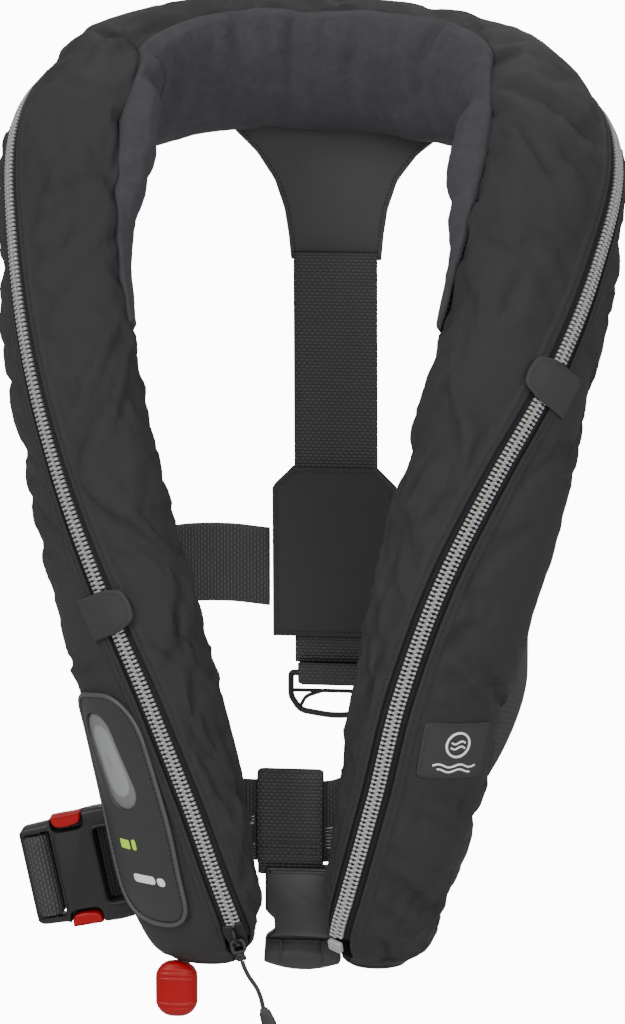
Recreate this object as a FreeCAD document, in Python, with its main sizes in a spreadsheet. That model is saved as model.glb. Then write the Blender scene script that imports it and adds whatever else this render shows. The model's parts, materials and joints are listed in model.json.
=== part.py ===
import FreeCAD, Part
import Sketcher
import math
import os

from FreeCAD import Placement, Rotation, Vector

os.makedirs("parts", exist_ok=True)
doc = FreeCAD.newDocument("inflatable_life_jacket")

# ---------------------------------------------------------------- driving dimensions (mm, degrees)
DIMENSIONS = {
    "cover_skin": 1.6, "fleece_skin": 2.4, "layer_gap": 0.35, "seam_turn": 216.0,
    "tooth_reach": 3.9, "tooth_rise": 2.0, "tape_width": 3.8, "zip_half_gap": 8.8,
    "web_width": 50.0, "web_thick": 2.2, "loop_width": 39.0, "strap_width": 52.0,
    "patch_thick": 1.8, "yoke_thick": 2.4,
    "tab_width": 26.0, "tab_length": 35.0, "tab_thick": 1.8, "hook_thick": 1.0,
    "housing_width": 59.0, "housing_height": 68.0, "housing_depth": 14.0,
    "housing_slot_width": 22.0, "housing_slot_height": 47.0, "bar_gap": 6.0,
    "button_width": 20.0, "button_height": 7.8, "button_play": 0.4,
    "tongue_width": 44.0, "tongue_height": 66.0, "tongue_depth": 11.0, "tongue_wall": 1.3,
    "ring_thick": 5.0,
    "slider_width": 13.2, "slider_length": 15.0, "slider_plate": 1.6, "slider_side": 1.3,
    "cord_bore": 2.7, "tip_length": 17.0, "tip_width": 8.6,
    "inflator_width": 34.0, "inflator_height": 50.0, "inflator_depth": 24.0,
    "cylinder_radius": 14.0, "cylinder_length": 100.0, "neck_radius": 6.6,
    "capsule_radius": 11.0, "indicator_side": 17.0,
    "lever_length": 15.0, "lever_thick": 4.4, "pivot_radius": 2.0, "pivot_play": 0.05,
    "toggle_width": 25.0, "toggle_height": 34.5, "toggle_depth": 15.0,
    "lanyard_width": 5.0, "lanyard_thick": 1.6,
    "oral_radius": 7.0, "oral_length": 92.0, "valve_radius": 8.4, "valve_length": 16.0,
    "cap_radius": 10.4, "cap_length": 15.0,
    "whistle_length": 38.0, "whistle_width": 16.0, "whistle_thick": 8.0,
    "emblem_width": 45.0, "emblem_height": 34.0, "emblem_thick": 1.2,
    "keeper_wall": 2.0,
}

sheet = doc.addObject("Spreadsheet::Sheet", "dims")
for number, (alias, value) in enumerate(DIMENSIONS.items(), start=1):
    sheet.set("A%d" % number, alias)
    sheet.set("B%d" % number, str(value))
    sheet.setAlias("B%d" % number, alias)
doc.recompute()


def dim(alias):
    return float(sheet.get(alias))


# ---------------------------------------------------------------- the horseshoe roll
# Each row: centre x, y, z, half width, half depth, front normal x, y, z, angle of the zip.
# Angles run round the roll: 0 outer edge, 90 front, 180 inner edge, 270 body side.
LEFT = [
    (50, -108, -479, 18, 7, .40, -.91, .0, 168),
    (52, -110, -466, 30, 15, .40, -.91, .0, 162),
    (57, -113, -434, 39, 22, .40, -.91, .0, 141),
    (69, -117, -375, 44, 25, .40, -.91, .0, 130),
    (80, -120, -312, 48, 26, .42, -.90, .0, 122),
    (95, -118, -247, 49, 26, .42, -.89, .05, 111),
    (113, -107, -180, 50, 26, .44, -.88, .12, 93),
    (127, -88, -118, 50, 27, .50, -.80, .25, 70),
    (138, -58, -62, 51, 28, .60, -.62, .48, 57),
    (143, -20, -15, 55, 31, .66, -.20, .75, 56),
    (129, 26, 12, 54, 32, .50, .40, .77, 58),
    (88, 62, 22, 45, 30, .26, .78, .55, 60),
    (35, 80, 29, 42, 28, .08, .90, .42, 60),
]
NAPE = [(-8, 85, 31, 42, 28, .0, .91, .42, 60)]
RIGHT = [
    (-42, 80, 31, 42, 28, -.08, .90, .42, 60),
    (-90, 60, 27, 45, 30, -.26, .78, .55, 62),
    (-130, 24, 18, 53, 32, -.45, .45, .77, 66),
    (-143, -20, -7, 54, 31, -.66, -.12, .75, 70),
    (-142, -58, -58, 49, 28, -.72, -.50, .48, 74),
    (-133, -88, -118, 48, 27, -.68, -.68, .25, 79),
    (-118, -107, -180, 48, 26, -.62, -.77, .12, 84),
    (-101, -118, -247, 50, 26, -.57, -.82, .05, 97),
    (-84, -120, -312, 50, 26, -.55, -.83, .0, 112),
    (-70, -117, -375, 51, 25, -.54, -.84, .0, 124),
    (-61, -113, -434, 50, 22, -.54, -.84, .0, 139),
    (-57, -110, -466, 40, 15, -.54, -.84, .0, 158),
    (-54, -108, -479, 26, 7, -.54, -.84, .0, 168),
]
ROWS = LEFT + NAPE + RIGHT
LAST = len(ROWS) - 1
ZIP_START = 1.2
ZIP_END = 24.72
# Edge angle of the fleece at rows 7 to 19.
FLEECE_EDGE = [190, 173, 166, 168, 176, 188, 196, 191, 187, 184, 182, 184, 190]
FLEECE_FAR = 342.0


def blend(rows, t):
    first = int(min(max(math.floor(t), 0), len(rows) - 2))
    f = t - first
    p1 = rows[first]
    p2 = rows[first + 1]
    p0 = rows[first - 1] if first > 0 else [2 * u - v for u, v in zip(p1, p2)]
    p3 = rows[first + 2] if first + 2 < len(rows) else [2 * v - u for u, v in zip(p1, p2)]
    return [
        0.5 * (2 * b + (c - a) * f + (2 * a - 5 * b + 4 * c - d) * f ** 2 + (3 * b - a - 3 * c + d) * f ** 3)
        for a, b, c, d in zip(p0, p1, p2, p3)
    ]


def roll(t):
    """Centre, direction along, front normal, outward direction, half width and half depth."""
    row = blend(ROWS, t)
    ahead = blend(ROWS, min(t + 0.02, LAST))
    behind = blend(ROWS, max(t - 0.02, 0))
    along = (Vector(*ahead[:3]) - Vector(*behind[:3])).normalize()
    normal = Vector(*row[5:8])
    normal = (normal - along * along.dot(normal)).normalize()
    return Vector(*row[:3]), along, normal, along.cross(normal), row[3], row[4]


def on_roll(t, degrees, lift):
    centre, along, normal, outward, wide, deep = roll(t)
    angle = math.radians(degrees)
    return centre + outward * ((wide + lift) * math.cos(angle)) + normal * ((deep + lift) * math.sin(angle))


def face_normal(t, degrees):
    ahead = on_roll(t + 0.05, degrees, 0) - on_roll(t - 0.05, degrees, 0)
    round_it = on_roll(t, degrees + 1, 0) - on_roll(t, degrees - 1, 0)
    out = ahead.cross(round_it).normalize()
    return out if out.dot(on_roll(t, degrees, 1) - on_roll(t, degrees, 0)) > 0 else out * -1


def zip_angle(t):
    return blend(ROWS, t)[8]


def turned(t, degrees, distance):
    """The angle reached by walking the distance round the roll, towards the inner edge."""
    wide, deep = roll(t)[4:]
    steps = max(1, int(abs(distance) / 0.5))
    for step in range(steps):
        angle = math.radians(degrees)
        rate = math.hypot(wide * math.sin(angle), deep * math.cos(angle))
        degrees += math.degrees(distance / steps / rate)
    return degrees


def stations(first, last, spacing=20.0):
    """Stops along the roll's centre line, evenly spaced in length."""
    fine = [first + (last - first) * k / 800 for k in range(801)]
    points = [Vector(*blend(ROWS, t)[:3]) for t in fine]
    run = [0.0]
    for here, there in zip(points, points[1:]):
        run.append(run[-1] + (there - here).Length)
    count = max(3, int(round(run[-1] / spacing)) + 1)
    stops = []
    place = 0
    for k in range(count):
        goal = run[-1] * k / (count - 1)
        while place < 799 and run[place + 1] < goal:
            place += 1
        part = (goal - run[place]) / (run[place + 1] - run[place])
        stops.append(fine[place] + (fine[place + 1] - fine[place]) * min(1.0, part))
    return stops


GRID = stations(0.0, LAST, 14.0)


def marks(first, last, every=1):
    """The shared stops of all layers between two places on the roll."""
    inner = [t for t in GRID[::every] if first + 0.12 < t < last - 0.12]
    return [first] + inner + [last]


def curve(points):
    spline = Part.BSplineCurve()
    last = len(points) - 1
    spline.interpolate(Points=points, Parameters=[k / last for k in range(last + 1)])
    return spline.toShape()


def skin_section(t, start, end, low, high, count):
    angles = [start + (end - start) * k / (count - 1) for k in range(count)]
    top = [on_roll(t, a, high) for a in angles]
    under = [on_roll(t, a, low) for a in reversed(angles)]
    return Part.Wire([
        curve(top),
        Part.makeLine(top[-1], under[0]),
        curve(under),
        Part.makeLine(under[-1], top[0]),
    ])


def skin(marks, start, end, low, high, count=13):
    """A soft layer on the roll between two running angles and two lifts."""
    sections = [skin_section(t, start(t), end(t), low, high, count) for t in marks]
    return Part.makeLoft(sections, True, True)


def disc_section(t, low, shift=0.0, depth=1.0, width=1.0, count=13):
    """A closed oval across the roll, as a front half and a back half."""
    centre, along, normal, outward, wide, deep = roll(t)
    span = (wide + low) * width
    half = (deep + low) * depth
    middle = centre + normal * (deep * shift)

    def spot(degrees):
        angle = math.radians(degrees)
        return middle + outward * (span * math.cos(angle)) + normal * (half * math.sin(angle))

    front = [spot(180.0 * k / (count - 1)) for k in range(count)]
    back = [spot(180.0 + 180.0 * k / (count - 1)) for k in range(count)]
    back[0] = front[-1]
    back[-1] = front[0]
    return Part.Wire([curve(front), curve(back)])


def feature(label, shape, placement=None):
    item = doc.addObject("Part::Feature", label)
    item.Label = label
    item.Shape = shape
    if placement:
        item.Placement = placement
    return item


# ---------------------------------------------------------------- solids driven by the sheet
def frame_at(origin, x_axis, z_axis):
    x_axis = (x_axis - z_axis * z_axis.dot(x_axis)).normalize()
    return Placement(origin, Rotation(x_axis, z_axis.cross(x_axis), z_axis, "ZXY"))


def new_body(label, placement):
    body = doc.addObject("PartDesign::Body", label)
    body.Label = label
    body.Placement = placement
    return body


def base_plane(body):
    return [f for f in body.Origin.OriginFeatures if f.Role == "XY_Plane"][0]


def new_sketch(body, label, height=0.0):
    sketch = body.newObject("Sketcher::SketchObject", label)
    sketch.AttachmentSupport = (base_plane(body), [""])
    sketch.MapMode = "FlatFace"
    sketch.AttachmentOffset = Placement(Vector(0, 0, height), Rotation())
    return sketch


def box_sketch(body, label, centre, width, height, level=0.0):
    """A rectangle whose two sides are expressions on the sheet."""
    sketch = new_sketch(body, label, level)
    corners = [Vector(-5, -5, 0), Vector(5, -5, 0), Vector(5, 5, 0), Vector(-5, 5, 0)]
    for k in range(4):
        sketch.addGeometry(Part.LineSegment(corners[k], corners[(k + 1) % 4]), False)
    for k in range(4):
        sketch.addConstraint(Sketcher.Constraint("Coincident", k, 2, (k + 1) % 4, 1))
    for k, kind in enumerate(("Horizontal", "Vertical", "Horizontal", "Vertical")):
        sketch.addConstraint(Sketcher.Constraint(kind, k))
    rules = (
        ("wide", Sketcher.Constraint("DistanceX", 0, 1, 0, 2, 10.0), width),
        ("high", Sketcher.Constraint("DistanceY", 1, 1, 1, 2, 10.0), height),
        ("left", Sketcher.Constraint("DistanceX", -1, 1, 2, 1, 5.0), "%g + (%s) / 2" % (centre[0], width)),
        ("base", Sketcher.Constraint("DistanceY", -1, 1, 2, 1, 5.0), "%g + (%s) / 2" % (centre[1], height)),
    )
    for name, constraint, expression in rules:
        index = sketch.addConstraint(constraint)
        sketch.renameConstraint(index, name)
        sketch.setExpression("Constraints." + name, expression)
    return sketch


def outline_sketch(body, label, points, level=0.0):
    """A closed outline of straight runs; a run given three points is an arc."""
    sketch = new_sketch(body, label, level)
    for run in points:
        corners = [Vector(x, y, 0) for x, y in run]
        line = Part.Arc(*corners) if len(corners) == 3 else Part.LineSegment(*corners)
        sketch.addGeometry(line, False)
    return sketch


def pad(body, sketch, length):
    item = body.newObject("PartDesign::Pad", sketch.Name + "_pad")
    item.Profile = sketch
    item.setExpression("Length", length)
    sketch.Visibility = False
    doc.recompute()
    return item


def pocket(body, sketch, length, upward=True):
    before = body.Shape.Volume
    item = body.newObject("PartDesign::Pocket", sketch.Name + "_cut")
    item.Profile = sketch
    item.setExpression("Length", length)
    item.Reversed = upward
    doc.recompute()
    if body.Shape.Volume >= before - 0.01:
        raise RuntimeError(body.Label + ": the pocket " + sketch.Name + " removes nothing")
    return item


def round_edges(body, radius, choose):
    solid = body.Tip
    names = ["Edge%d" % (k + 1) for k, edge in enumerate(solid.Shape.Edges) if choose(edge)]
    item = body.newObject("PartDesign::Fillet", body.Name + "_round")
    item.Base = (solid, names)
    item.Radius = radius
    doc.recompute()
    return item


def upright(edge):
    if len(edge.Vertexes) < 2:
        return False
    run = edge.Vertexes[0].Point - edge.Vertexes[1].Point
    return math.hypot(run.x, run.y) < 0.01


def prim(kind, label, placement, **sizes):
    item = doc.addObject(kind, label)
    item.Placement = placement
    for name, expression in sizes.items():
        item.setExpression(name, expression)
    return item


def joined(label, parts, placement):
    item = doc.addObject("Part::MultiFuse", label)
    item.Label = label
    item.Shapes = parts
    item.Placement = placement
    return item


def less(label, base, tool, placement=None):
    item = doc.addObject("Part::Cut", label)
    item.Label = label
    item.Base = base
    item.Tool = tool
    if placement:
        item.Placement = placement
    return item


def at(x, y, z, axis=None, angle=0.0):
    return Placement(Vector(x, y, z), Rotation(axis or Vector(0, 0, 1), angle))


# ---------------------------------------------------------------- webbing
def strap(route, width, thick, between=1):
    """A flat band: each stop of the route is a point, its width direction and its face normal."""
    rows = [tuple(point) + tuple(across) + tuple(normal) for point, across, normal in route]
    sections = []
    for step in range((len(rows) - 1) * between + 1):
        row = blend(rows, step / between)
        middle = Vector(*row[:3])
        side = Vector(*row[3:6]).normalize() * (width / 2)
        rise = Vector(*row[6:9]).normalize() * (thick / 2)
        corners = [middle + side + rise, middle - side + rise, middle - side - rise, middle + side - rise]
        sections.append(Part.makePolygon(corners + corners[:1]))
    return Part.makeLoft(sections, True, True)


# ---------------------------------------------------------------- soft parts of the roll
SEAM = dim("seam_turn")


def panel_gap(t):
    """The panels part for the zip's tapes and meet again below its two ends."""
    past_end = max(ZIP_START - 0.55 - t, t - ZIP_END - 0.5, 0.0)
    return max(0.4, dim("zip_half_gap") * (1 - past_end / 0.4))


def cover_outer_panel():
    shape = skin(GRID, lambda t: SEAM - 360, lambda t: turned(t, zip_angle(t), -panel_gap(t)),
                 -dim("cover_skin"), 0.0, 21)
    return feature("cover_outer_panel", shape.cut(window_prism(0.0)))


def cover_inner_panel():
    shape = skin(GRID, lambda t: turned(t, zip_angle(t), panel_gap(t)), lambda t: turned(t, SEAM, -0.3),
                 -dim("cover_skin"), 0.0, 9)
    return feature("cover_inner_panel", shape)


def hem(first, last):
    """The folded end of a lobe, between two of the cover's own stops."""
    sections = [disc_section(t, -dim("cover_skin") - 1.2) for t in (first, last)]
    return Part.makeLoft(sections, True, True)


def cover_hem_left():
    return feature("cover_hem_left", hem(GRID[0], GRID[1]))


def cover_hem_right():
    plug = hem(GRID[-2], GRID[-1])
    passage = Part.makeBox(8, 4, 60, Vector(-4, -2, -30))
    passage.Placement = Placement(LANYARD_EXIT, Rotation())
    return feature("cover_hem_right", plug.cut(passage))


def fleece_edge(t):
    return blend([[a] for a in FLEECE_EDGE], t - 7)[0]


def collar_fleece():
    low = dim("layer_gap")
    shape = skin(marks(7.05, 18.95), fleece_edge, lambda t: FLEECE_FAR, low, low + dim("fleece_skin"), 15)
    return feature("collar_fleece", shape)


def bladder():
    sections = []
    for t in marks(1.45, 24.6, 2):
        along = (t - 19.0) / 1.5 if t > 13 else (6.5 - t) / 1.5
        folded = min(1.0, max(0.0, along))
        sections.append(disc_section(t, -5.0, -0.66 * folded, 1.0 - 0.78 * folded, 1.0 - 0.38 * folded))
    return feature("bladder", Part.makeLoft(sections, True, True))


# ---------------------------------------------------------------- zip
def zip_strip(near, far, low, high):
    def start(t):
        return turned(t, zip_angle(t), near)

    def end(t):
        return turned(t, zip_angle(t), far)

    return skin(marks(ZIP_START, ZIP_END), start, end, low, high, 3)


def zip_teeth_inner():
    return feature("zip_teeth_inner", zip_strip(0.1, dim("tooth_reach"), -0.6, dim("tooth_rise")))


def zip_teeth_outer():
    return feature("zip_teeth_outer", zip_strip(-dim("tooth_reach"), -0.1, -0.6, dim("tooth_rise")))


def zip_tape_inner():
    near = dim("tooth_reach") + 0.2
    return feature("zip_tape_inner", zip_strip(near, near + dim("tape_width"), -1.3, -0.3))


def zip_tape_outer():
    near = dim("tooth_reach") + 0.2
    return feature("zip_tape_outer", zip_strip(-near - dim("tape_width"), -near, -1.3, -0.3))


def zip_frame(t, lift, twist=0.0):
    """On the zip's centre line: x across it, y along it (upwards), z out of the cover."""
    here = on_roll(t, zip_angle(t), lift)
    near = on_roll(t - 0.1, zip_angle(t - 0.1), lift)
    far = on_roll(t + 0.1, zip_angle(t + 0.1), lift)
    up = near - far if t > 13 else far - near
    up.normalize()
    out = face_normal(t, zip_angle(t))
    return frame_at(here, up.cross(out), out)


def zip_end_box():
    place = zip_frame(ZIP_START - 0.22, -0.2)
    return prim("Part::Box", "zip_end_box", place.multiply(at(-4.6, -3.4, 0)),
                Length="dims.tooth_reach * 2 + 1.4", Width="6.8", Height="3.4")


def zip_bottom_stop():
    place = zip_frame(ZIP_END + 0.1, -0.4)
    return prim("Part::Box", "zip_bottom_stop", place.multiply(at(-4.2, -1.5, 0)),
                Length="dims.tooth_reach * 2 + 0.6", Width="3", Height="2.6")


# ---------------------------------------------------------------- zip slider and its pull
SLIDER_AT = 24.56


def slider_place():
    here = zip_frame(SLIDER_AT, 0.6)
    above = zip_frame(SLIDER_AT - 0.72, 0.6)
    out = face_normal(SLIDER_AT - 0.3, zip_angle(SLIDER_AT - 0.3))
    up = (above.Base - here.Base).normalize()
    return frame_at(here.Base, up.cross(out), out)


def slider_body():
    plate = prim("Part::Box", "slider_top", at(-6.6, -7.5, 3.0),
                 Length="dims.slider_width", Width="dims.slider_length", Height="dims.slider_plate")
    left = prim("Part::Box", "slider_rim_a", at(-6.6, -7.5, 0.6),
                Length="dims.slider_side", Width="dims.slider_length", Height="2.6")
    right = prim("Part::Box", "slider_rim_b", at(5.3, -7.5, 0.6),
                 Length="dims.slider_side", Width="dims.slider_length", Height="2.6")
    posts = [
        prim("Part::Box", "slider_post_%d" % k, at(-1.6, y, 4.4), Length="3.2", Width="2", Height="3.4")
        for k, y in enumerate((-5.5, 3.0))
    ]
    bridge = prim("Part::Box", "slider_bridge", at(-1.6, -5.5, 7.6),
                  Length="3.2", Width="10.5", Height="1.4")
    return joined("slider_body", [plate, left, right, bridge] + posts, slider_place())


BAIL_HINGE = Vector(0, -2.4, 6.3)


def bail_place():
    """The bail hangs from the slider's bridge, leaning out and to the wearer's left."""
    slider = slider_place()
    pivot = slider.multVec(BAIL_HINGE)
    down = Vector(0.30, -0.12, -0.95).normalize()
    across = slider.Rotation.multVec(Vector(1, 0, 0))
    front = across.cross(down) * -1
    return frame_at(pivot, across, front)


def pull_bail():
    """A closed loop: its top bar runs under the slider's bridge, its foot holds the cord's knot."""
    top = prim("Part::Cylinder", "bail_top", at(-3.6, 0, 0, Vector(0, 1, 0), 90),
               Radius="1.0", Height="7.2")
    sides = [
        prim("Part::Box", "bail_side_%d" % k, at(x, -6.6, -0.9), Length="1.6", Width="7.6", Height="1.8")
        for k, x in enumerate((-4.6, 3.0))
    ]
    foot = prim("Part::Box", "bail_foot", at(-4.6, -7.8, -0.9), Length="9.2", Width="2", Height="1.8")
    knot = prim("Part::Box", "bail_knot", at(-2.6, -12.2, -2.2), Length="5.2", Width="5", Height="4.4")
    return joined("pull_bail", [top, foot, knot] + sides, bail_place())


CORD_TURN = 9.0


def cord_route():
    """Straight runs of the pull cord, from the knot to the tip."""
    place = bail_place()
    start = place.multVec(Vector(0, -12.4, 0))
    down = place.Rotation.multVec(Vector(0, -1, 0))
    first = start + down * 7.0
    second = first + Vector(0.62, -0.05, -0.78).normalize() * 14.5
    third = second + Vector(0.16, 0.0, -0.99).normalize() * 10.0
    return [start, first, second, third]


def round_cord(points, radius):
    """A tube of straight runs joined by tangent arcs, and the arcs' radii."""
    edges = []
    radii = []
    length = 0.0
    here = points[0]
    for before, corner, after in zip(points, points[1:], points[2:]):
        come = (corner - before).normalize()
        go = (after - corner).normalize()
        half = come.getAngle(go) / 2
        shorter = min((corner - before).Length, (after - corner).Length)
        bend = 0.45 * shorter / math.tan(half)
        cut = bend * math.tan(half)
        first = corner - come * cut
        last = corner + go * cut
        middle_way = (go - come).normalize()
        centre = corner + middle_way * (bend / math.cos(half))
        middle = centre - middle_way * bend
        edges.append(Part.makeLine(here, first))
        edges.append(Part.Arc(first, middle, last).toShape())
        length += (first - here).Length + bend * 2 * half
        radii.append(bend)
        here = last
    edges.append(Part.makeLine(here, points[-1]))
    length += (points[-1] - here).Length
    spine = Part.Wire(edges)
    ring = Part.Wire([Part.makeCircle(radius, points[0], (points[1] - points[0]).normalize())])
    tube = spine.makePipeShell([ring], True, False)
    expected = math.pi * radius ** 2 * length
    if abs(tube.Volume - expected) > 0.03 * expected:
        raise RuntimeError("the cord's tube is not closed as meant")
    print("cord arcs mm", [round(r, 1) for r in radii], "length mm", round(length, 1))
    return tube, length


def pull_cord():
    tube = round_cord(cord_route(), dim("cord_bore") / 2)[0]
    return feature("pull_cord", tube)


def pull_tip():
    down = Vector(0.34, 0.0, -0.94).normalize()
    place = frame_at(cord_route()[3] + down * 0.6, Vector(1, 0, 0), down)
    item = doc.addObject("Part::Prism", "pull_tip")
    item.Polygon = 8
    item.setExpression("Circumradius", "dims.tip_width / 2")
    item.setExpression("Height", "dims.tip_length")
    item.Placement = place
    return item


# ---------------------------------------------------------------- burst tabs over the zip
TAB_RIGHT_AT = 21.22
TAB_LEFT_AT = 6.82


def tab_place(t):
    """Origin at the hinge line on the outer side; x runs over the zip towards the inner edge."""
    place = zip_frame(t, 0.0)
    across = place.Rotation.multVec(Vector(1, 0, 0))
    inward = roll(t)[3] * -1
    if across.dot(inward) < 0:
        across = across * -1
    out = place.Rotation.multVec(Vector(0, 0, 1))
    return frame_at(place.Base - across * 19.0 + out * 2.9, across, out)


def burst_tab(label, t):
    body = new_body(label, tab_place(t))
    half = dim("tab_width") / 2
    straight = dim("tab_length") - half
    runs = [
        ((0, -half), (straight, -half)),
        ((straight, -half), (straight + half, 0), (straight, half)),
        ((straight, half), (0, half)),
        ((0, half), (0, -half)),
    ]
    pad(body, outline_sketch(body, label + "_outline", runs), "dims.tab_thick")
    return body


def hook_patch(label, t):
    place = tab_place(t)
    return prim("Part::Box", label, place.multiply(at(25.6, -6.5, -1.35)),
                Length="7", Width="dims.tab_width / 2", Height="dims.hook_thick")


def burst_tab_right():
    return burst_tab("burst_tab_right", TAB_RIGHT_AT)


def burst_tab_left():
    return burst_tab("burst_tab_left", TAB_LEFT_AT)


def hook_patch_right():
    return hook_patch("hook_patch_right", TAB_RIGHT_AT)


def hook_patch_left():
    return hook_patch("hook_patch_left", TAB_LEFT_AT)


# ---------------------------------------------------------------- inspection window
WINDOW_MID = 22.6
WINDOW_ANGLE = 62.0
PANEL_TOP = 21.92
PANEL_FOOT = 24.5
PANEL_CENTRE = 70.0


def window_frame():
    out = face_normal(WINDOW_MID, WINDOW_ANGLE)
    top = on_roll(22.1, 52.0, 0.0)
    foot = on_roll(23.1, 72.0, 0.0)
    up = (top - foot).normalize()
    return frame_at((top + foot) * 0.5, up.cross(out), out)


def window_prism(margin):
    """The window's opening as a slot-ended bar through the cover; margin makes it smaller."""
    half = 13.5 - margin
    run = 17.5
    wire = Part.Wire([
        Part.makeLine(Vector(-half, -run, 0), Vector(-half, run, 0)),
        Part.Arc(Vector(-half, run, 0), Vector(0, run + half, 0), Vector(half, run, 0)).toShape(),
        Part.makeLine(Vector(half, run, 0), Vector(half, -run, 0)),
        Part.Arc(Vector(half, -run, 0), Vector(0, -run - half, 0), Vector(-half, -run, 0)).toShape(),
    ])
    bar = Part.Face(wire).extrude(Vector(0, 0, 34))
    bar.translate(Vector(0, 0, -17))
    bar.Placement = window_frame().multiply(bar.Placement)
    return bar


def panel_half(t):
    """Half the window panel's width along the cover, rounded to a narrow end top and bottom."""
    along = (t - PANEL_TOP) / (PANEL_FOOT - PANEL_TOP)
    ends = min(along, 1 - along) / 0.17
    rounding = math.sqrt(max(0.0, 1 - (1 - min(ends, 1.0)) ** 2))
    return 7.0 + 24.0 * rounding - 4.5 * max(0.0, (along - 0.55) / 0.45)


def panel_centre(t):
    return PANEL_CENTRE + (t - 23.2) * 5.0


def panel_skin(low, high):
    stops = [PANEL_TOP, 21.98, 22.08, 22.22, 22.38, 22.7, 23.0, 23.4, 23.8, 24.1, 24.28, 24.42, PANEL_FOOT]
    return skin(stops, lambda t: turned(t, panel_centre(t), -panel_half(t)),
                lambda t: turned(t, panel_centre(t), panel_half(t)), low, high, 13)


def window_panel():
    low = dim("layer_gap")
    return feature("window_panel", panel_skin(low, low + 1.4).cut(window_prism(0.0)))


def window_lens():
    return feature("window_lens", panel_skin(-0.9, 0.3).common(window_prism(0.4)))


PIPING_STOPS = [21.98, 22.08, 22.22, 22.38, 22.7, 23.0, 23.4, 23.8, 24.1, 24.28, 24.42]
PIPING_SIDE = 2.2


def window_piping():
    """A raised rim round the panel: a right and a left run, which meet at the top and the foot."""
    right = [(t, turned(t, panel_centre(t), panel_half(t) - 1.2)) for t in PIPING_STOPS]
    left = [(t, turned(t, panel_centre(t), 1.2 - panel_half(t))) for t in reversed(PIPING_STOPS)]
    loop = [(21.95, panel_centre(21.95))] + right + [(24.46, panel_centre(24.46))] + left
    points = [on_roll(t, a, dim("layer_gap") + 3.75) for t, a in loop]
    normals = [face_normal(t, a) for t, a in loop]
    sections = []
    for k, (here, out) in enumerate(zip(points, normals)):
        ahead = (points[(k + 1) % len(points)] - points[k - 1]).normalize()
        side = ahead.cross(out).normalize() * (PIPING_SIDE / 2)
        rise = side.cross(ahead).normalize() * (PIPING_SIDE / 2)
        corners = [here + side + rise, here - side + rise, here - side - rise, here + side - rise]
        sections.append(Part.makePolygon(corners + corners[:1]))
    foot = len(right) + 1
    runs = (sections[:foot + 1], sections[foot:] + sections[:1])
    return feature("window_piping", Part.makeCompound([Part.makeLoft(run, True, True) for run in runs]))


def emblem_patch():
    out = face_normal(3.6, 72.0)
    up = roll(3.6)[1]
    place = frame_at(on_roll(3.6, 72.0, 1.7), up.cross(out), out)
    body = new_body("emblem_patch", place)
    pad(body, box_sketch(body, "emblem_outline", (0, 0), "dims.emblem_width", "dims.emblem_height"),
        "dims.emblem_thick")
    round_edges(body, 2.0, upright)
    return body


# ---------------------------------------------------------------- back yoke, strap, patch and ring
BACK_X = 3.5
BACK_TILT = 2.4


def back_place(x, y, z, tilt=BACK_TILT):
    """Flat back pieces: x to the wearer's left, y up, z to the front, leaning by the tilt."""
    turn = Rotation(Vector(1, 0, 0), 90)
    lean = Rotation(Vector(1, 0, 0), tilt)
    return Placement(Vector(x, y, z), lean.multiply(turn))


def back_yoke():
    body = new_body("back_yoke", back_place(BACK_X, 107.6, -94.0))
    runs = [
        ((-28, 0), (28, 0)),
        ((28, 0), (35, 47), (66, 79)),
        ((66, 79), (70, 86)),
        ((70, 86), (-68, 86)),
        ((-68, 86), (-62, 80)),
        ((-62, 80), (-35, 47), (-28, 0)),
    ]
    pad(body, outline_sketch(body, "yoke_outline", runs), "dims.yoke_thick")
    return body


def back_strap():
    body = new_body("back_strap", back_place(BACK_X, 113.0, -350.5))
    pad(body, box_sketch(body, "strap_outline", (0, 131.25), "dims.strap_width", "262.5"), "dims.web_thick")
    return body


def patch_runs(wide, high, chamfer, notch):
    side = wide / 2
    top = high / 2
    corners = [
        (-side, -top), (side - notch, -top), (side - notch, -top + 2), (side, -top + 12),
        (side, top - chamfer), (side - chamfer, top), (-side + chamfer, top), (-side, top - chamfer),
    ]
    return [(corners[k], corners[(k + 1) % len(corners)]) for k in range(len(corners))]


def back_patch_outer():
    body = new_body("back_patch_outer", back_place(BACK_X - 1.0, 112.6, -278.5))
    pad(body, outline_sketch(body, "patch_back", patch_runs(77, 109, 13, 15)), "dims.patch_thick")
    return body


def back_patch_inner():
    body = new_body("back_patch_inner", back_place(BACK_X - 1.0, 105.6, -278.5))
    pad(body, outline_sketch(body, "patch_front", patch_runs(77, 109, 13, 15)), "dims.patch_thick")
    return body


RING_PIVOT = Vector(BACK_X, 112.0, -359.0)


def strap_tail():
    """The strap's end turned round the ring's bar."""
    wide = dim("web_width") - 2
    across = Vector(1, 0, 0)
    radius = 5.2
    route = [(Vector(RING_PIVOT.x, RING_PIVOT.y + radius, RING_PIVOT.z + 9), across, Vector(0, 1, 0))]
    for step in range(0, 7):
        turn = math.radians(180.0 * step / 6)
        out = Vector(0, math.cos(turn), -math.sin(turn))
        route.append((RING_PIVOT + out * radius, across, out))
    route.append((Vector(RING_PIVOT.x, RING_PIVOT.y - radius, RING_PIVOT.z + 9), across, Vector(0, -1, 0)))
    return feature("strap_tail", strap(route, wide, dim("web_thick")))


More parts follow.
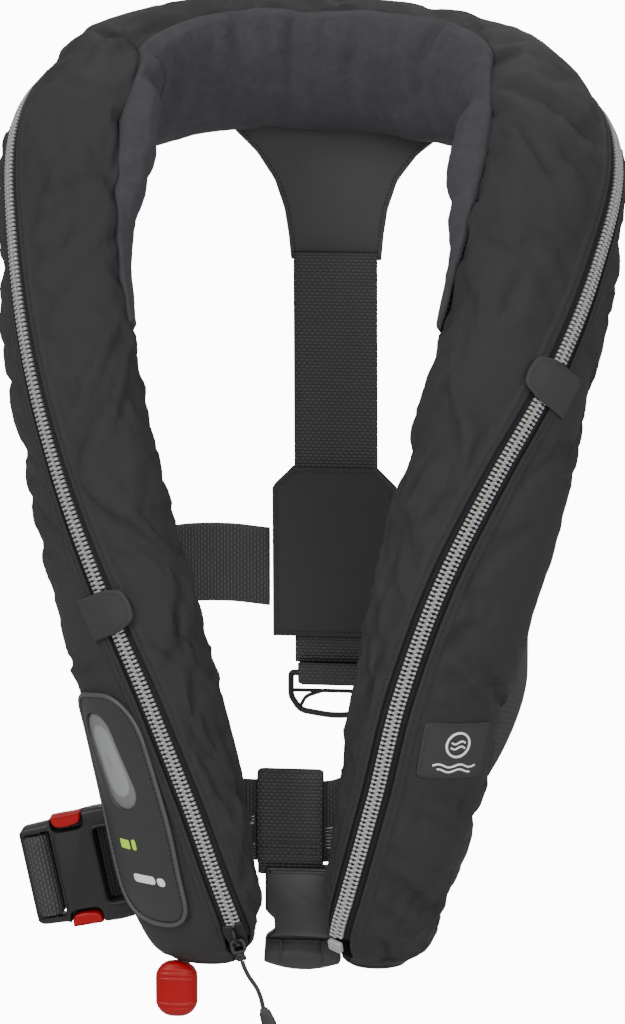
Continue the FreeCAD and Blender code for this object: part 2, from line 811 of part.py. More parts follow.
def strap_ring():
    """A D-shaped plastic ring with an inner arch; the round bar is its hinge."""
    body = new_body("strap_ring", back_place(RING_PIVOT.x, RING_PIVOT.y + 2.5, RING_PIVOT.z, 0.0))
    outer = [
        ((-31, 4), (-31, -12)),
        ((-31, -12), (-27.5, -22), (-18, -25.6)),
        ((-18, -25.6), (0, -27.2), (18, -25.6)),
        ((18, -25.6), (27.5, -22), (31, -12)),
        ((31, -12), (31, 4)),
        ((31, 4), (-31, 4)),
    ]
    pad(body, outline_sketch(body, "ring_outline", outer), "dims.ring_thick")
    above = [
        ((-26.4, 8), (26.4, 8)), ((26.4, 8), (26.4, 2.6)),
        ((26.4, 2.6), (-26.4, 2.6)), ((-26.4, 2.6), (-26.4, 8)),
    ]
    pocket(body, outline_sketch(body, "ring_top", above), "dims.ring_thick")
    below = [((-26.4, -2.6), (26.4, -2.6)), ((26.4, -2.6), (26.4, -8.2)), ((26.4, -8.2), (-26.4, -8.2)),
             ((-26.4, -8.2), (-26.4, -2.6))]
    pocket(body, outline_sketch(body, "ring_gap", below), "dims.ring_thick")
    arch = [((-17, -21.5), (-14.5, -14), (0, -11)), ((0, -11), (14.5, -14), (17, -21.5)),
            ((17, -21.5), (0, -23.4), (-17, -21.5))]
    pocket(body, outline_sketch(body, "ring_arch", arch), "dims.ring_thick")
    for name, sign in (("ring_corner_a", -1), ("ring_corner_b", 1)):
        corner = [((sign * 26.8, -11.5), (sign * 19.5, -11.5)), ((sign * 19.5, -11.5), (sign * 24.6, -18.0)),
                  ((sign * 24.6, -18.0), (sign * 26.8, -11.5))]
        pocket(body, outline_sketch(body, name, corner), "dims.ring_thick")
    return body


# ---------------------------------------------------------------- waist belt
UP = Vector(0, 0, 1)


def belt_stop(x, y, z, nx, ny, lean=0.0):
    return Vector(x, y, z), Vector(lean, 0, 1), Vector(nx, ny, 0)


KEEPER_RIGHT_AT = 22.62
KEEPER_LEFT_AT = 2.72


def keeper_stop(t, along):
    place = keeper_place(t)
    return (place.multVec(Vector(along, 0, 5.2)), place.Rotation.multVec(Vector(0, 1, 0)),
            place.Rotation.multVec(Vector(0, 0, 1)))


def keeper_run(t):
    return [(point, across, normal * -1) for point, across, normal in (keeper_stop(t, a) for a in (-14, 14))]


def belt_right():
    """From the back patch round the wearer's right side and through the keeper."""
    route = [
        belt_stop(-38, 108.2, -289, 0, 1), belt_stop(-66, 105, -286, -.16, 1),
        belt_stop(-95, 91, -285, -.55, .8),
        belt_stop(-117, 64, -288, -.86, .5), belt_stop(-127, 28, -296, -1, .1),
        belt_stop(-124, -10, -310, -1, -.15), belt_stop(-110, -44, -328, -.8, -.6),
    ]
    route += reversed(keeper_run(KEEPER_RIGHT_AT))
    return feature("belt_right", strap(route, dim("web_width"), dim("web_thick"), 4))


def belt_left():
    """From the back patch round the wearer's left side, through the keeper and across the front."""
    route = [
        belt_stop(43, 108.2, -289, 0, 1), belt_stop(70, 105, -290, .16, 1), belt_stop(98, 91, -292, .55, .8),
        belt_stop(119, 64, -298, .86, .5), belt_stop(128, 28, -308, 1, .1),
        belt_stop(126, -10, -326, 1, -.15), belt_stop(114, -44, -350, .9, -.45),
        belt_stop(93, -68, -376, .6, -.8),
    ]
    route += keeper_run(KEEPER_LEFT_AT)
    route += [
        belt_stop(29, -89.0, -396, -.2, -1), belt_stop(17, -85.2, -400.5, 0, -1),
        belt_stop(0, -85.2, -400.5, 0, -1), belt_stop(-24, -85.2, -400.5, 0, -1),
        belt_stop(-44, -85.2, -400, 0, -1),
    ]
    return feature("belt_left", strap(route, dim("web_width"), dim("web_thick"), 4))


def keeper_place(t):
    """On the lobe's body side: x along the belt, y up, z away from the cover."""
    back = face_normal(t, 270.0)
    return frame_at(on_roll(t, 270.0, 0.8), UP.cross(back), back)


def keeper(label, t):
    """A flat webbing bridge sewn to the lobe's body side; the belt runs through it."""
    place = keeper_place(t)
    plate = prim("Part::Box", label + "_plate", at(-11, -34, 0), Length="22", Width="68",
                 Height="dims.keeper_wall")
    bridge = prim("Part::Box", label + "_bridge", at(-11, -34, 8.6), Length="22", Width="68",
                  Height="dims.keeper_wall")
    ends = [
        prim("Part::Box", label + "_end_%d" % k, at(-11, y, 1.5), Length="22", Width="5", Height="7.6")
        for k, y in enumerate((-34, 29))
    ]
    return joined(label, [plate, bridge] + ends, place)


def belt_keeper_right():
    return keeper("belt_keeper_right", KEEPER_RIGHT_AT)


def belt_keeper_left():
    return keeper("belt_keeper_left", KEEPER_LEFT_AT)


# ---------------------------------------------------------------- buckle tongue on its loop
LOOP_X = -4.2


def tongue_loop():
    """Webbing turned over the front belt; its two layers meet in the tongue's mouth."""
    across = Vector(1, 0, 0)
    route = [
        (Vector(LOOP_X, -86.6, -433.0), across, Vector(0, -1, 0)),
        (Vector(LOOP_X, -86.8, -427.0), across, Vector(0, -1, 0)),
        (Vector(LOOP_X, -90.0, -423.0), across, Vector(0, -1, 0)),
    ]
    for step in range(0, 7):
        turn = math.radians(180.0 * step / 6)
        out = Vector(0, -math.cos(turn), math.sin(turn))
        route.append((Vector(LOOP_X, -85.2, -374.5) + out * 4.8, across, out))
    route.append((Vector(LOOP_X, -80.4, -423.0), across, Vector(0, 1, 0)))
    route.append((Vector(LOOP_X, -83.6, -427.0), across, Vector(0, 1, 0)))
    route.append((Vector(LOOP_X, -83.8, -433.0), across, Vector(0, 1, 0)))
    return feature("tongue_loop", strap(route, dim("loop_width"), dim("web_thick")))


TONGUE_TOP = Vector(3.0, -85.2, -427.0)


def buckle_tongue():
    body = new_body("buckle_tongue", back_place(TONGUE_TOP.x, TONGUE_TOP.y + 5.5, TONGUE_TOP.z, 0.0))
    side = dim("tongue_width") / 2
    foot = -dim("tongue_height")
    runs = [
        ((-side, -3), (-side, -28)),
        ((-side, -28), (-side + 5.5, -33)),
        ((-side + 5.5, -33), (-side + 5.5, -41)),
        ((-side + 5.5, -41), (-side, -44)),
        ((-side, -44), (-side - 1, foot + 6)),
        ((-side - 1, foot + 6), (0, foot), (side + 1, foot + 6)),
        ((side + 1, foot + 6), (side, -44)),
        ((side, -44), (side - 5.5, -41)),
        ((side - 5.5, -41), (side - 5.5, -33)),
        ((side - 5.5, -33), (side, -28)),
        ((side, -28), (side, -3)),
        ((side, -3), (side - 3, 0)),
        ((side - 3, 0), (-side + 3, 0)),
        ((-side + 3, 0), (-side, -3)),
    ]
    pad(body, outline_sketch(body, "tongue_outline", runs), "dims.tongue_depth")
    mouth = box_sketch(body, "tongue_mouth", (LOOP_X - TONGUE_TOP.x, -2.0), "dims.loop_width + 1.2", "12",
                       dim("tongue_wall"))
    pocket(body, mouth, "dims.tongue_depth - 2 * dims.tongue_wall")
    return body


# ---------------------------------------------------------------- buckle housing on the belt's end
HOUSING = Placement(Vector(-124.5, -64.0, -436.5), Rotation(Vector(math.cos(math.radians(12)), 0,
                                                                   math.sin(math.radians(12))),
                                                            Vector(-math.sin(math.radians(12)), 0,
                                                                   math.cos(math.radians(12))),
                                                            Vector(0, -1, 0), "XYZ"))


def housing_place(x=0.0, y=0.0, z=0.0):
    return HOUSING.multiply(at(x, y, z))


def buckle_housing():
    body = new_body("buckle_housing", housing_place(0, 0, -7))
    pad(body, box_sketch(body, "housing_outline", (1, 0), "dims.housing_width + 14", "dims.housing_height"),
        "dims.housing_depth")
    round_edges(body, 9.0, upright)
    depth = "dims.housing_depth"
    pocket(body, box_sketch(body, "housing_slot", (14.5, 0), "dims.housing_slot_width",
                            "dims.housing_slot_height"), depth)
    pocket(body, box_sketch(body, "housing_bar_gap", (-25.5, 0), "dims.bar_gap", "54"), depth)
    pocket(body, box_sketch(body, "housing_bar_thin", (-34.5, 0), "12.5", "52", 10.5), depth)
    pocket(body, box_sketch(body, "housing_bar_thin_back", (-34.5, 0), "12.5", "52", -10.5), depth)
    for name, sign in (("housing_upper_well", 1), ("housing_lower_well", -1)):
        centre = (-11, sign * 29.4)
        well = box_sketch(body, name, centre, "dims.button_width", "dims.button_height + 2.8", 3.0)
        pocket(body, well, depth)
    return body


def release_button(label, sign):
    body = new_body(label, housing_place(0, 0, -7))
    play = "dims.button_play"
    outline = box_sketch(body, label + "_outline", (-11, sign * 31.2), "dims.button_width - 2 * " + play,
                         "dims.button_height", 3.0 + dim("button_play"))
    pad(body, outline, "dims.housing_depth - 3 - " + play)
    return body


def release_button_upper():
    return release_button("release_button_upper", 1)


def release_button_lower():
    return release_button("release_button_lower", -1)


def housing_point(x, y, z):
    return HOUSING.multVec(Vector(x, y, z))


def belt_end():
    """From the keeper behind the lobe, behind the housing, round its bar and in through the gap."""
    across = HOUSING.Rotation.multVec(Vector(0, 1, 0))
    front = HOUSING.Rotation.multVec(Vector(0, 0, 1))
    route = [
        (Vector(-73.9, -72.8, -353), Vector(0.1, 0, 1), Vector(-.55, -.84, 0)),
        (Vector(-81.5, -61.6, -373), Vector(-0.1, 0, 1), Vector(-.6, -.8, 0)),
        (Vector(-92, -56.0, -399), Vector(-0.28, 0, 1), Vector(-.3, -.95, 0)),
        (Vector(-103, -53.6, -421), Vector(-0.28, 0, 1), Vector(-.05, -1, 0)),
        (housing_point(10, 0, -10.5), across, front),
        (housing_point(-10, 0, -10.5), across, front),
        (housing_point(-25, 0, -10.3), across, front),
    ]
    wrap = ((-33.5, -8.6, -.35, -1), (-38.0, -4.6, -.85, -.6), (-39.4, 0.6, -1, .1), (-37.2, 5.6, -.7, .7),
            (-32.6, 7.7, -.1, 1), (-28.3, 7.1, .5, .85), (-25.6, 4.2, .9, .4), (-24.9, 0.2, 1, 0),
            (-24.9, -4.4, 1, 0))
    for x, z, out_x, out_z in wrap:
        out = HOUSING.Rotation.multVec(Vector(-out_x, 0, -out_z))
        route.append((housing_point(x, 0, z), across, out))
    return feature("belt_end", strap(route, dim("web_width"), dim("web_thick"), 2))


# ---------------------------------------------------------------- inflator inside the wearer's right lobe
INFLATOR_AT = 22.9
INFLATOR_RISE = 19.0


def inflator_place():
    """x outwards along the lobe's width, y to the front, z up the lobe."""
    centre, along, normal, outward, wide, deep = roll(INFLATOR_AT)
    return Placement(centre - along * INFLATOR_RISE, Rotation(outward, normal, along * -1, "ZXY"))


def inflator_spot(x, y, z):
    return inflator_place().multiply(at(x, y, z))


def inflator_body():
    base = prim("Part::Box", "inflator_block", at(-6, -9, -32), Length="dims.inflator_width",
                Width="dims.inflator_depth", Height="dims.inflator_height")
    soft = doc.addObject("Part::Fillet", "inflator_rounded")
    soft.Base = base
    doc.recompute()
    soft.Edges = [(k + 1, 3.0, 3.0) for k, edge in enumerate(base.Shape.Edges)]
    tool = prim("Part::Cylinder", "inflator_lever_bore", at(-12, 3, -24, Vector(0, 1, 0), 90),
                Radius="dims.pivot_radius", Height="14")
    drilled = doc.addObject("Part::Cut", "inflator_drilled")
    drilled.Base = soft
    drilled.Tool = tool
    socket = prim("Part::Cylinder", "inflator_socket", at(8, 2, 8),
                  Radius="dims.neck_radius + 0.05", Height="14")
    return less("inflator_body", drilled, socket, inflator_place())


def co2_cylinder():
    wall = prim("Part::Cylinder", "bottle_wall", at(8, 2, 24), Radius="dims.cylinder_radius",
                Height="dims.cylinder_length")
    neck = prim("Part::Cylinder", "bottle_neck", at(8, 2, 12), Radius="dims.neck_radius", Height="13")
    return joined("co2_cylinder", [wall, neck], inflator_place())


def sensor_capsule():
    place = inflator_spot(17, 15.2, 8).multiply(at(0, 0, 0, Vector(1, 0, 0), -90))
    return prim("Part::Cylinder", "sensor_capsule", place, Radius="dims.capsule_radius - 1.5", Height="4.6")


def status_indicator():
    place = inflator_spot(21, 15.2, -29)
    return prim("Part::Box", "status_indicator", place.multiply(at(-14, 0, 0)), Length="dims.indicator_side",
                Width="3.6", Height="dims.indicator_side")


def lever_place():
    return inflator_place().multiply(at(-6.4, 3, -24))


def lever_pin():
    return prim("Part::Cylinder", "lever_pin", lever_place().multiply(at(-5.2, 0, 0, Vector(0, 1, 0), 90)),
                Radius="dims.pivot_radius - dims.pivot_play", Height="13")


def firing_lever():
    """A crank beside the inflator: up when cocked, swung forward and down by the lanyard."""
    hub = prim("Part::Cylinder", "lever_hub", at(-4.4, 0, 0, Vector(0, 1, 0), 90), Radius="4.2",
               Height="dims.lever_thick")
    arm = prim("Part::Box", "lever_arm", at(-4.4, -2.0, 0), Length="dims.lever_thick", Width="4",
               Height="dims.lever_length")
    whole = joined("lever_blank", [hub, arm], Placement())
    bore = prim("Part::Cylinder", "lever_bore", at(-6, 0, 0, Vector(0, 1, 0), 90),
                Radius="dims.pivot_radius", Height="7")
    return less("firing_lever", whole, bore, lever_place())


def inflator_gasket():
    return prim("Part::Cylinder", "inflator_gasket",
                inflator_spot(8, -11.9, -10).multiply(at(0, 0, 0, Vector(1, 0, 0), -90)),
                Radius="13", Height="2.8")


# ---------------------------------------------------------------- manual firing handle
TOGGLE_TOP = Vector(-71.0, -100.5, -484.5)
LANYARD_EXIT = Vector(-67.5, -101.0, -470.0)


def pull_toggle():
    half = dim("toggle_width") / 2
    place = Placement(Vector(TOGGLE_TOP.x, TOGGLE_TOP.y + dim("toggle_depth") / 2, TOGGLE_TOP.z),
                      Rotation(Vector(1, 0, 0), 90))
    body = new_body("pull_toggle", place)
    foot = -dim("toggle_height")
    runs = [
        ((-half, -9), (-half, foot + 9)),
        ((-half, foot + 9), (0, foot), (half, foot + 9)),
        ((half, foot + 9), (half, -9)),
        ((half, -9), (0, 0), (-half, -9)),
    ]
    pad(body, outline_sketch(body, "toggle_outline", runs), "dims.toggle_depth")
    round_edges(body, 3.5, lambda edge: not upright(edge))
    return body


def toggle_lanyard():
    return prim("Part::Box", "toggle_lanyard", at(-70.0, -101.8, -484.3), Length="dims.lanyard_width",
                Width="dims.lanyard_thick", Height="62")


# ---------------------------------------------------------------- oral tube and whistle inside the left lobe
ORAL_AT = 3.4


def oral_place():
    """x inwards along the lobe's width, y to the front, z up the lobe."""
    centre, along, normal, outward, wide, deep = roll(ORAL_AT)
    return Placement(centre, Rotation(outward * -1, normal, along, "ZXY"))


def oral_spot(x, y, z):
    return oral_place().multiply(at(x, y, z))


def oral_tube():
    return prim("Part::Cylinder", "oral_tube", oral_spot(-12, 6, -58), Radius="dims.oral_radius",
                Height="dims.oral_length")


def oral_valve():
    stem = prim("Part::Cylinder", "valve_stem", at(-12, 6, 34.3), Radius="dims.valve_radius",
                Height="dims.valve_length")
    lip = prim("Part::Cylinder", "valve_lip", at(-12, 6, 34.3), Radius="9.8", Height="3")
    return joined("oral_valve", [stem, lip], oral_place())


def oral_cap():
    shell = prim("Part::Cylinder", "cap_shell", at(-12, 6, 38),
                 Radius="dims.cap_radius", Height="dims.cap_length")
    hollow = prim("Part::Cylinder", "cap_hollow", at(-12, 6, 37), Radius="dims.valve_radius + 0.08",
                  Height="dims.cap_length - 1")
    return less("oral_cap", shell, hollow, oral_place())


def whistle():
    block = prim("Part::Box", "whistle_block", at(4, 2, -40), Length="dims.whistle_width",
                 Width="dims.whistle_thick", Height="dims.whistle_length")
    slot = prim("Part::Box", "whistle_slot", at(6, 0, -24), Length="dims.whistle_width - 4", Width="20",
                Height="4.4")
    return less("whistle", block, slot, oral_place())


BUILDERS = (
    cover_outer_panel, cover_inner_panel, cover_hem_left, cover_hem_right, collar_fleece, bladder,
    zip_teeth_inner, zip_teeth_outer, zip_tape_inner, zip_tape_outer, zip_end_box, zip_bottom_stop,
    slider_body, pull_bail, pull_cord, pull_tip,
    burst_tab_right, burst_tab_left, hook_patch_right, hook_patch_left,
    window_panel, window_lens, window_piping, emblem_patch,
    back_yoke, back_strap, back_patch_outer, back_patch_inner, strap_tail, strap_ring,
    belt_right, belt_left, belt_keeper_right, belt_keeper_left,
    tongue_loop, buckle_tongue, buckle_housing, release_button_upper, release_button_lower, belt_end,
    inflator_body, co2_cylinder, sensor_capsule, status_indicator, lever_pin, firing_lever, inflator_gasket,
    pull_toggle, toggle_lanyard, oral_tube, oral_valve, oral_cap, whistle,
)

nodes = [(build.__name__, build()) for build in BUILDERS]
doc.recompute()

for item in doc.Objects:
    if "Invalid" in item.State or "Error" in item.State:
        raise RuntimeError("not valid: " + item.Name + " " + str(item.State))
for name, item in nodes:
    item.Label = name
    shape = item.Shape
    if shape.isNull() or not shape.isValid() or shape.Volume <= 0:
        raise RuntimeError("no good solid: " + name)
    solids = shape.Solids
    shape.exportStep(os.path.join("parts", name + ".step"))
    print(name, "solids", len(solids), "volume mm3", round(shape.Volume, 1))
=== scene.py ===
import json
import math

import bmesh
import bpy
import numpy as np
from mathutils import Matrix, Vector, noise
from mathutils.bvhtree import BVHTree


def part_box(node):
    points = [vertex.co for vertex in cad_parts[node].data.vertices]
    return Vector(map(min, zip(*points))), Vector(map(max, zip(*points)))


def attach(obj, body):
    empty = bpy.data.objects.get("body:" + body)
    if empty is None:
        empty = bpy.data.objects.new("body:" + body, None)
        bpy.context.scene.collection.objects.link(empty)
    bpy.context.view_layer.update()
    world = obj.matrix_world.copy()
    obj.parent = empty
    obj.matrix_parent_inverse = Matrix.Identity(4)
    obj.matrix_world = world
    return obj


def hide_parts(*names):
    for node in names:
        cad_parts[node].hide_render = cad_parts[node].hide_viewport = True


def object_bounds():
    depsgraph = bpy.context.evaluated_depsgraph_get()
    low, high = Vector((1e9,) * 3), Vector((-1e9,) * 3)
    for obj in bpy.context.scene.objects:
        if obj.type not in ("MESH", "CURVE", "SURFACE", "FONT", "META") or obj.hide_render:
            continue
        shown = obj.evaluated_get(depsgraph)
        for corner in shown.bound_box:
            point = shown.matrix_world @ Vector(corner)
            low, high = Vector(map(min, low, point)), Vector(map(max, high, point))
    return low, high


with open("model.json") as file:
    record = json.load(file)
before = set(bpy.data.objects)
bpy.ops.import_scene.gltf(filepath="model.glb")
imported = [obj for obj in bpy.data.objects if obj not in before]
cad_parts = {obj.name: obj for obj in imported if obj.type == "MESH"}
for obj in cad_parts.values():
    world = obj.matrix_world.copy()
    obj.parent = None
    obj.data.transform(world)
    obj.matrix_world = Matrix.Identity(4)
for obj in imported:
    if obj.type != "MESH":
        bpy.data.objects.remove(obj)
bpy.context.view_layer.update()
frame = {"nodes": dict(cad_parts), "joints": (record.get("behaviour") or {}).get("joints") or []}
MM = 0.001

# ---------------------------------------------------------------- the horseshoe roll
# Each row: centre x, y, z, half width, half depth (mm), front normal x, y, z, angle of the zip.
# Angles run round the roll: 0 outer edge, 90 front, 180 inner edge, 270 body side.
ROWS = [
    (50, -108, -479, 18, 7, .40, -.91, .0, 168),
    (52, -110, -466, 30, 15, .40, -.91, .0, 162),
    (57, -113, -434, 39, 22, .40, -.91, .0, 141),
    (69, -117, -375, 44, 25, .40, -.91, .0, 130),
    (80, -120, -312, 48, 26, .42, -.90, .0, 122),
    (95, -118, -247, 49, 26, .42, -.89, .05, 111),
    (113, -107, -180, 50, 26, .44, -.88, .12, 93),
    (127, -88, -118, 50, 27, .50, -.80, .25, 70),
    (138, -58, -62, 51, 28, .60, -.62, .48, 57),
    (143, -20, -15, 55, 31, .66, -.20, .75, 56),
    (129, 26, 12, 54, 32, .50, .40, .77, 58),
    (88, 62, 22, 45, 30, .26, .78, .55, 60),
    (35, 80, 29, 42, 28, .08, .90, .42, 60),
    (-8, 85, 31, 42, 28, .0, .91, .42, 60),
    (-42, 80, 31, 42, 28, -.08, .90, .42, 60),
    (-90, 60, 27, 45, 30, -.26, .78, .55, 62),
    (-130, 24, 18, 53, 32, -.45, .45, .77, 66),
    (-143, -20, -7, 54, 31, -.66, -.12, .75, 70),
    (-142, -58, -58, 49, 28, -.72, -.50, .48, 74),
    (-133, -88, -118, 48, 27, -.68, -.68, .25, 79),
    (-118, -107, -180, 48, 26, -.62, -.77, .12, 84),
    (-101, -118, -247, 50, 26, -.57, -.82, .05, 97),
    (-84, -120, -312, 50, 26, -.55, -.83, .0, 112),
    (-70, -117, -375, 51, 25, -.54, -.84, .0, 124),
    (-61, -113, -434, 50, 22, -.54, -.84, .0, 139),
    (-57, -110, -466, 40, 15, -.54, -.84, .0, 158),
    (-54, -108, -479, 26, 7, -.54, -.84, .0, 168),
]
LAST = len(ROWS) - 1
ZIP_START = 1.2
ZIP_END = 24.72
SEAM = 216.0
ZIP_HALF_GAP = 8.4
# Edge angle of the fleece at rows 7 to 19.
FLEECE_EDGE = [190, 173, 166, 168, 176, 188, 196, 191, 187, 184, 182, 184, 190]
FLEECE_FIRST = 7
FLEECE_FAR = 342.0


def unit(v):
    return v / np.maximum(np.linalg.norm(v, axis=-1, keepdims=True), 1e-12)


def dot(a, b):
    return (a * b).sum(-1, keepdims=True)


def padded_table(rows):
    table = np.array(rows, float)
    return np.vstack([2 * table[0] - table[1], table, 2 * table[-1] - table[-2]])


def between(table, t):
    """Smooth rows of a padded table at the places t."""
    t = np.asarray(t, float)
    first = np.clip(np.floor(t).astype(int), 0, len(table) - 4)
    f = (t - first)[..., None]
    a, b, c, d = (table[first + k] for k in range(4))
    square, cube = 2 * a - 5 * b + 4 * c - d, 3 * b - a - 3 * c + d
    return 0.5 * (2 * b + (c - a) * f + square * f ** 2 + cube * f ** 3)


ROLL = padded_table(ROWS)
EDGE = padded_table([[a] for a in FLEECE_EDGE])


def roll(t):
    """Centre, direction along, front normal, outward direction (m), half width and half depth (m)."""
    t = np.asarray(t, float)
    row = between(ROLL, t)
    ahead = between(ROLL, np.minimum(t + 0.02, LAST))
    behind = between(ROLL, np.maximum(t - 0.02, 0))
    along = unit(ahead[..., :3] - behind[..., :3])
    normal = row[..., 5:8]
    normal = unit(normal - along * dot(along, normal))
    return row[..., :3] * MM, along, normal, np.cross(along, normal), row[..., 3:4] * MM, row[..., 4:5] * MM


def on_roll(t, degrees, lift=0.0):
    t, degrees, lift = np.broadcast_arrays(t, degrees, lift)
    centre, along, normal, outward, wide, deep = roll(t)
    angle = np.radians(degrees)[..., None]
    rise = lift[..., None] * MM
    return centre + outward * (wide + rise) * np.cos(angle) + normal * (deep + rise) * np.sin(angle)


def face_normal(t, degrees):
    t, degrees = np.broadcast_arrays(np.asarray(t, float), np.asarray(degrees, float))
    ahead = on_roll(np.minimum(t + 0.05, LAST), degrees) - on_roll(np.maximum(t - 0.05, 0), degrees)
    round_it = on_roll(t, degrees + 1) - on_roll(t, degrees - 1)
    return unit(np.cross(ahead, round_it))


def zip_angle(t):
    return between(ROLL, t)[..., 8]


def fleece_edge(t):
    return between(EDGE, np.asarray(t, float) - FLEECE_FIRST)[..., 0]


def turned(t, degrees, distance, steps=24):
    """The angle reached by walking the distance (mm) round the roll, towards the inner edge."""
    t, degrees, distance = np.broadcast_arrays(t, degrees, distance)
    wide, deep = (v[..., 0] / MM for v in roll(t)[4:])
    degrees = degrees.astype(float).copy()
    for _ in range(steps):
        angle = np.radians(degrees)
        rate = np.hypot(wide * np.sin(angle), deep * np.cos(angle))
        degrees += np.degrees(distance / steps / rate)
    return degrees


def run_of(points):
    """Length along a line up to each of its points."""
    return np.concatenate([[0], np.cumsum(np.linalg.norm(np.diff(points, axis=0), axis=1))])


def stops(first, last, spacing):
    """Places along the roll's centre line, evenly spaced in length (mm)."""
    fine = np.linspace(first, last, 2001)
    points = between(ROLL, fine)[:, :3]
    run = run_of(points)
    count = max(3, int(round(run[-1] / spacing)) + 1)
    return np.interp(np.linspace(0, run[-1], count), run, fine)


LENGTH_T = np.linspace(0, LAST, 2001)
LENGTH = run_of(between(ROLL, LENGTH_T)[:, :3])


def along_mm(t):
    return np.interp(t, LENGTH_T, LENGTH)


ROUND_MM = 0.66


def hills(x, y, seed, size):
    """Smooth unevenness from -1 to 1 over a flat field, in millimetres."""
    flat = np.broadcast_arrays(x, y)
    values = [noise.noise(Vector((u / size, v / size, seed))) for u,
              v in zip(flat[0].ravel(), flat[1].ravel())]
    return np.array(values).reshape(flat[0].shape)


# ---------------------------------------------------------------- the cover's relief
# Folds pressed into the fabric: place along, angle round, direction (degrees from along), then half length,
# half width and depth in mm.
FOLDS = [
    (4.9, 150, 38, 34, 6, 2.2), (5.6, 60, -30, 40, 8, 2.0), (6.6, 120, 25, 34, 6, 2.4),
    (7.2, 35, 60, 30, 6, 2.0),
    (3.1, 60, 70, 26, 5, 1.4), (4.2, 40, 55, 30, 5, 1.8), (2.2, 90, 65, 26, 6, 1.6),
    (2.0, 165, 12, 40, 5, 1.8),
    (3.6, 168, -14, 46, 6, 2.4), (5.3, 172, 18, 40, 6, 2.2), (19.6, 130, -32, 36, 6, 2.2),
    (20.6, 130, 44, 30, 5, 2.0),
    (21.6, 150, -22, 40, 6, 2.2), (22.8, 155, 24, 36, 5, 2.0), (23.8, 165, -16, 34, 5, 1.8),
    (20.4, 50, 60, 26, 6, 1.8),
    (21.6, 35, -52, 28, 5, 1.8), (19.2, 40, 72, 30, 7, 2.0), (18.2, 110, -60, 30, 7, 2.0),
    (9.2, 110, 80, 30, 7, 1.6),
    (16.4, 120, 86, 32, 7, 1.8), (12.0, 110, 84, 30, 8, 1.6), (14.4, 116, 95, 30, 8, 1.8),
    (24.6, 110, 66, 22, 5, 1.2),
]


def folds(t, degrees):
    """Lift in mm: a pressed valley with a soft ridge beside it."""
    t, degrees = np.broadcast_arrays(t, degrees)
    run = along_mm(t)
    lift = np.zeros(t.shape)
    for place, angle, turn, long_half, wide_half, depth in FOLDS:
        u = run - along_mm(place)
        v = (degrees - angle) * ROUND_MM
        c, s = math.cos(math.radians(turn)), math.sin(math.radians(turn))
        across = -u * s + v * c + 3 * np.sin((u * c + v * s) / long_half * 1.3)
        down = u * c + v * s
        body = np.exp(-(across / wide_half) ** 2)
        body = body - 0.6 * np.exp(-((across - 2.1 * wide_half) / wide_half) ** 2)
        lift -= depth * body * np.exp(-(down / long_half) ** 2)
    return lift


def hold(t, degrees):
    """1 where other pieces are sewn to the cover, so that it keeps its shape there; 0 where it is free."""
    t, degrees = np.broadcast_arrays(t, degrees)
    turn = zip_angle(t)
    gap = np.abs((degrees - turn + 180) % 360 - 180)
    wide, deep = (v[..., 0] / MM for v in roll(t)[4:])
    rate = np.hypot(wide * np.sin(np.radians(turn)), deep * np.cos(np.radians(turn)))
    from_zip = np.radians(gap) * rate
    held = np.clip(1 - (from_zip - 11) / 9, 0, 1)
    run = along_mm(t)

    def patch(place, angle, long_half, round_half, soft=14):
        u = np.abs(run - along_mm(place)) - long_half
        v = np.abs((degrees - angle + 180) % 360 - 180) * ROUND_MM - round_half
        return np.clip(1 - np.maximum(u, v) / soft, 0, 1)

    for area in ((23.2, 70, 82, 34), (3.6, 72, 18, 24), (21.22, 88, 15, 32), (6.82, 75, 15, 32),
                 (22.62, 270, 14, 38), (2.72, 270, 14, 38)):
        held = np.maximum(held, patch(*area))
    ends = np.clip(np.maximum(1 - t / 0.7, 1 - (LAST - t) / 0.7), 0, 1)
    seam = np.clip(1 - np.abs((degrees - SEAM + 180) % 360 - 180) * ROUND_MM / 5, 0, 1) * 0.7
    return np.maximum(np.maximum(held, ends), seam)


CLOTH_COLS = 64
CLOTH_T = stops(0, LAST, 4.8)
CLOTH_DEG = np.arange(CLOTH_COLS) * 360.0 / CLOTH_COLS


def grid_faces(rows, cols, closed_cols=False):
    faces = []
    for i in range(rows - 1):
        for j in range(cols if closed_cols else cols - 1):
            k = (j + 1) % cols
            faces.append((i * cols + j, (i + 1) * cols + j, (i + 1) * cols + k, i * cols + k))
    return faces


def tube_faces(rows, cols):
    """A closed grid with a face over each open end."""
    last_row = tuple((rows - 1) * cols + k for k in range(cols))
    return grid_faces(rows, cols, True) + [last_row, tuple(reversed(range(cols)))]


def new_mesh(name, verts, faces):
    mesh = bpy.data.meshes.new(name)
    mesh.from_pydata(np.asarray(verts, float).reshape(-1, 3).tolist(), [], faces)
    mesh.update()
    return mesh


def new_object(name, mesh):
    obj = bpy.data.objects.new(name, mesh)
    bpy.context.scene.collection.objects.link(obj)
    return obj


CLOTH_FRAMES = 20
CLOTH_SETTINGS = {
    "quality": 5, "mass": 0.12, "tension_stiffness": 14, "compression_stiffness": 14, "shear_stiffness": 8,
    "bending_stiffness": 0.35, "shrink_min": -0.055, "use_pressure": True, "uniform_pressure_force": 2.2,
    "vertex_group_mass": "pins", "pin_stiffness": 2.0,
}


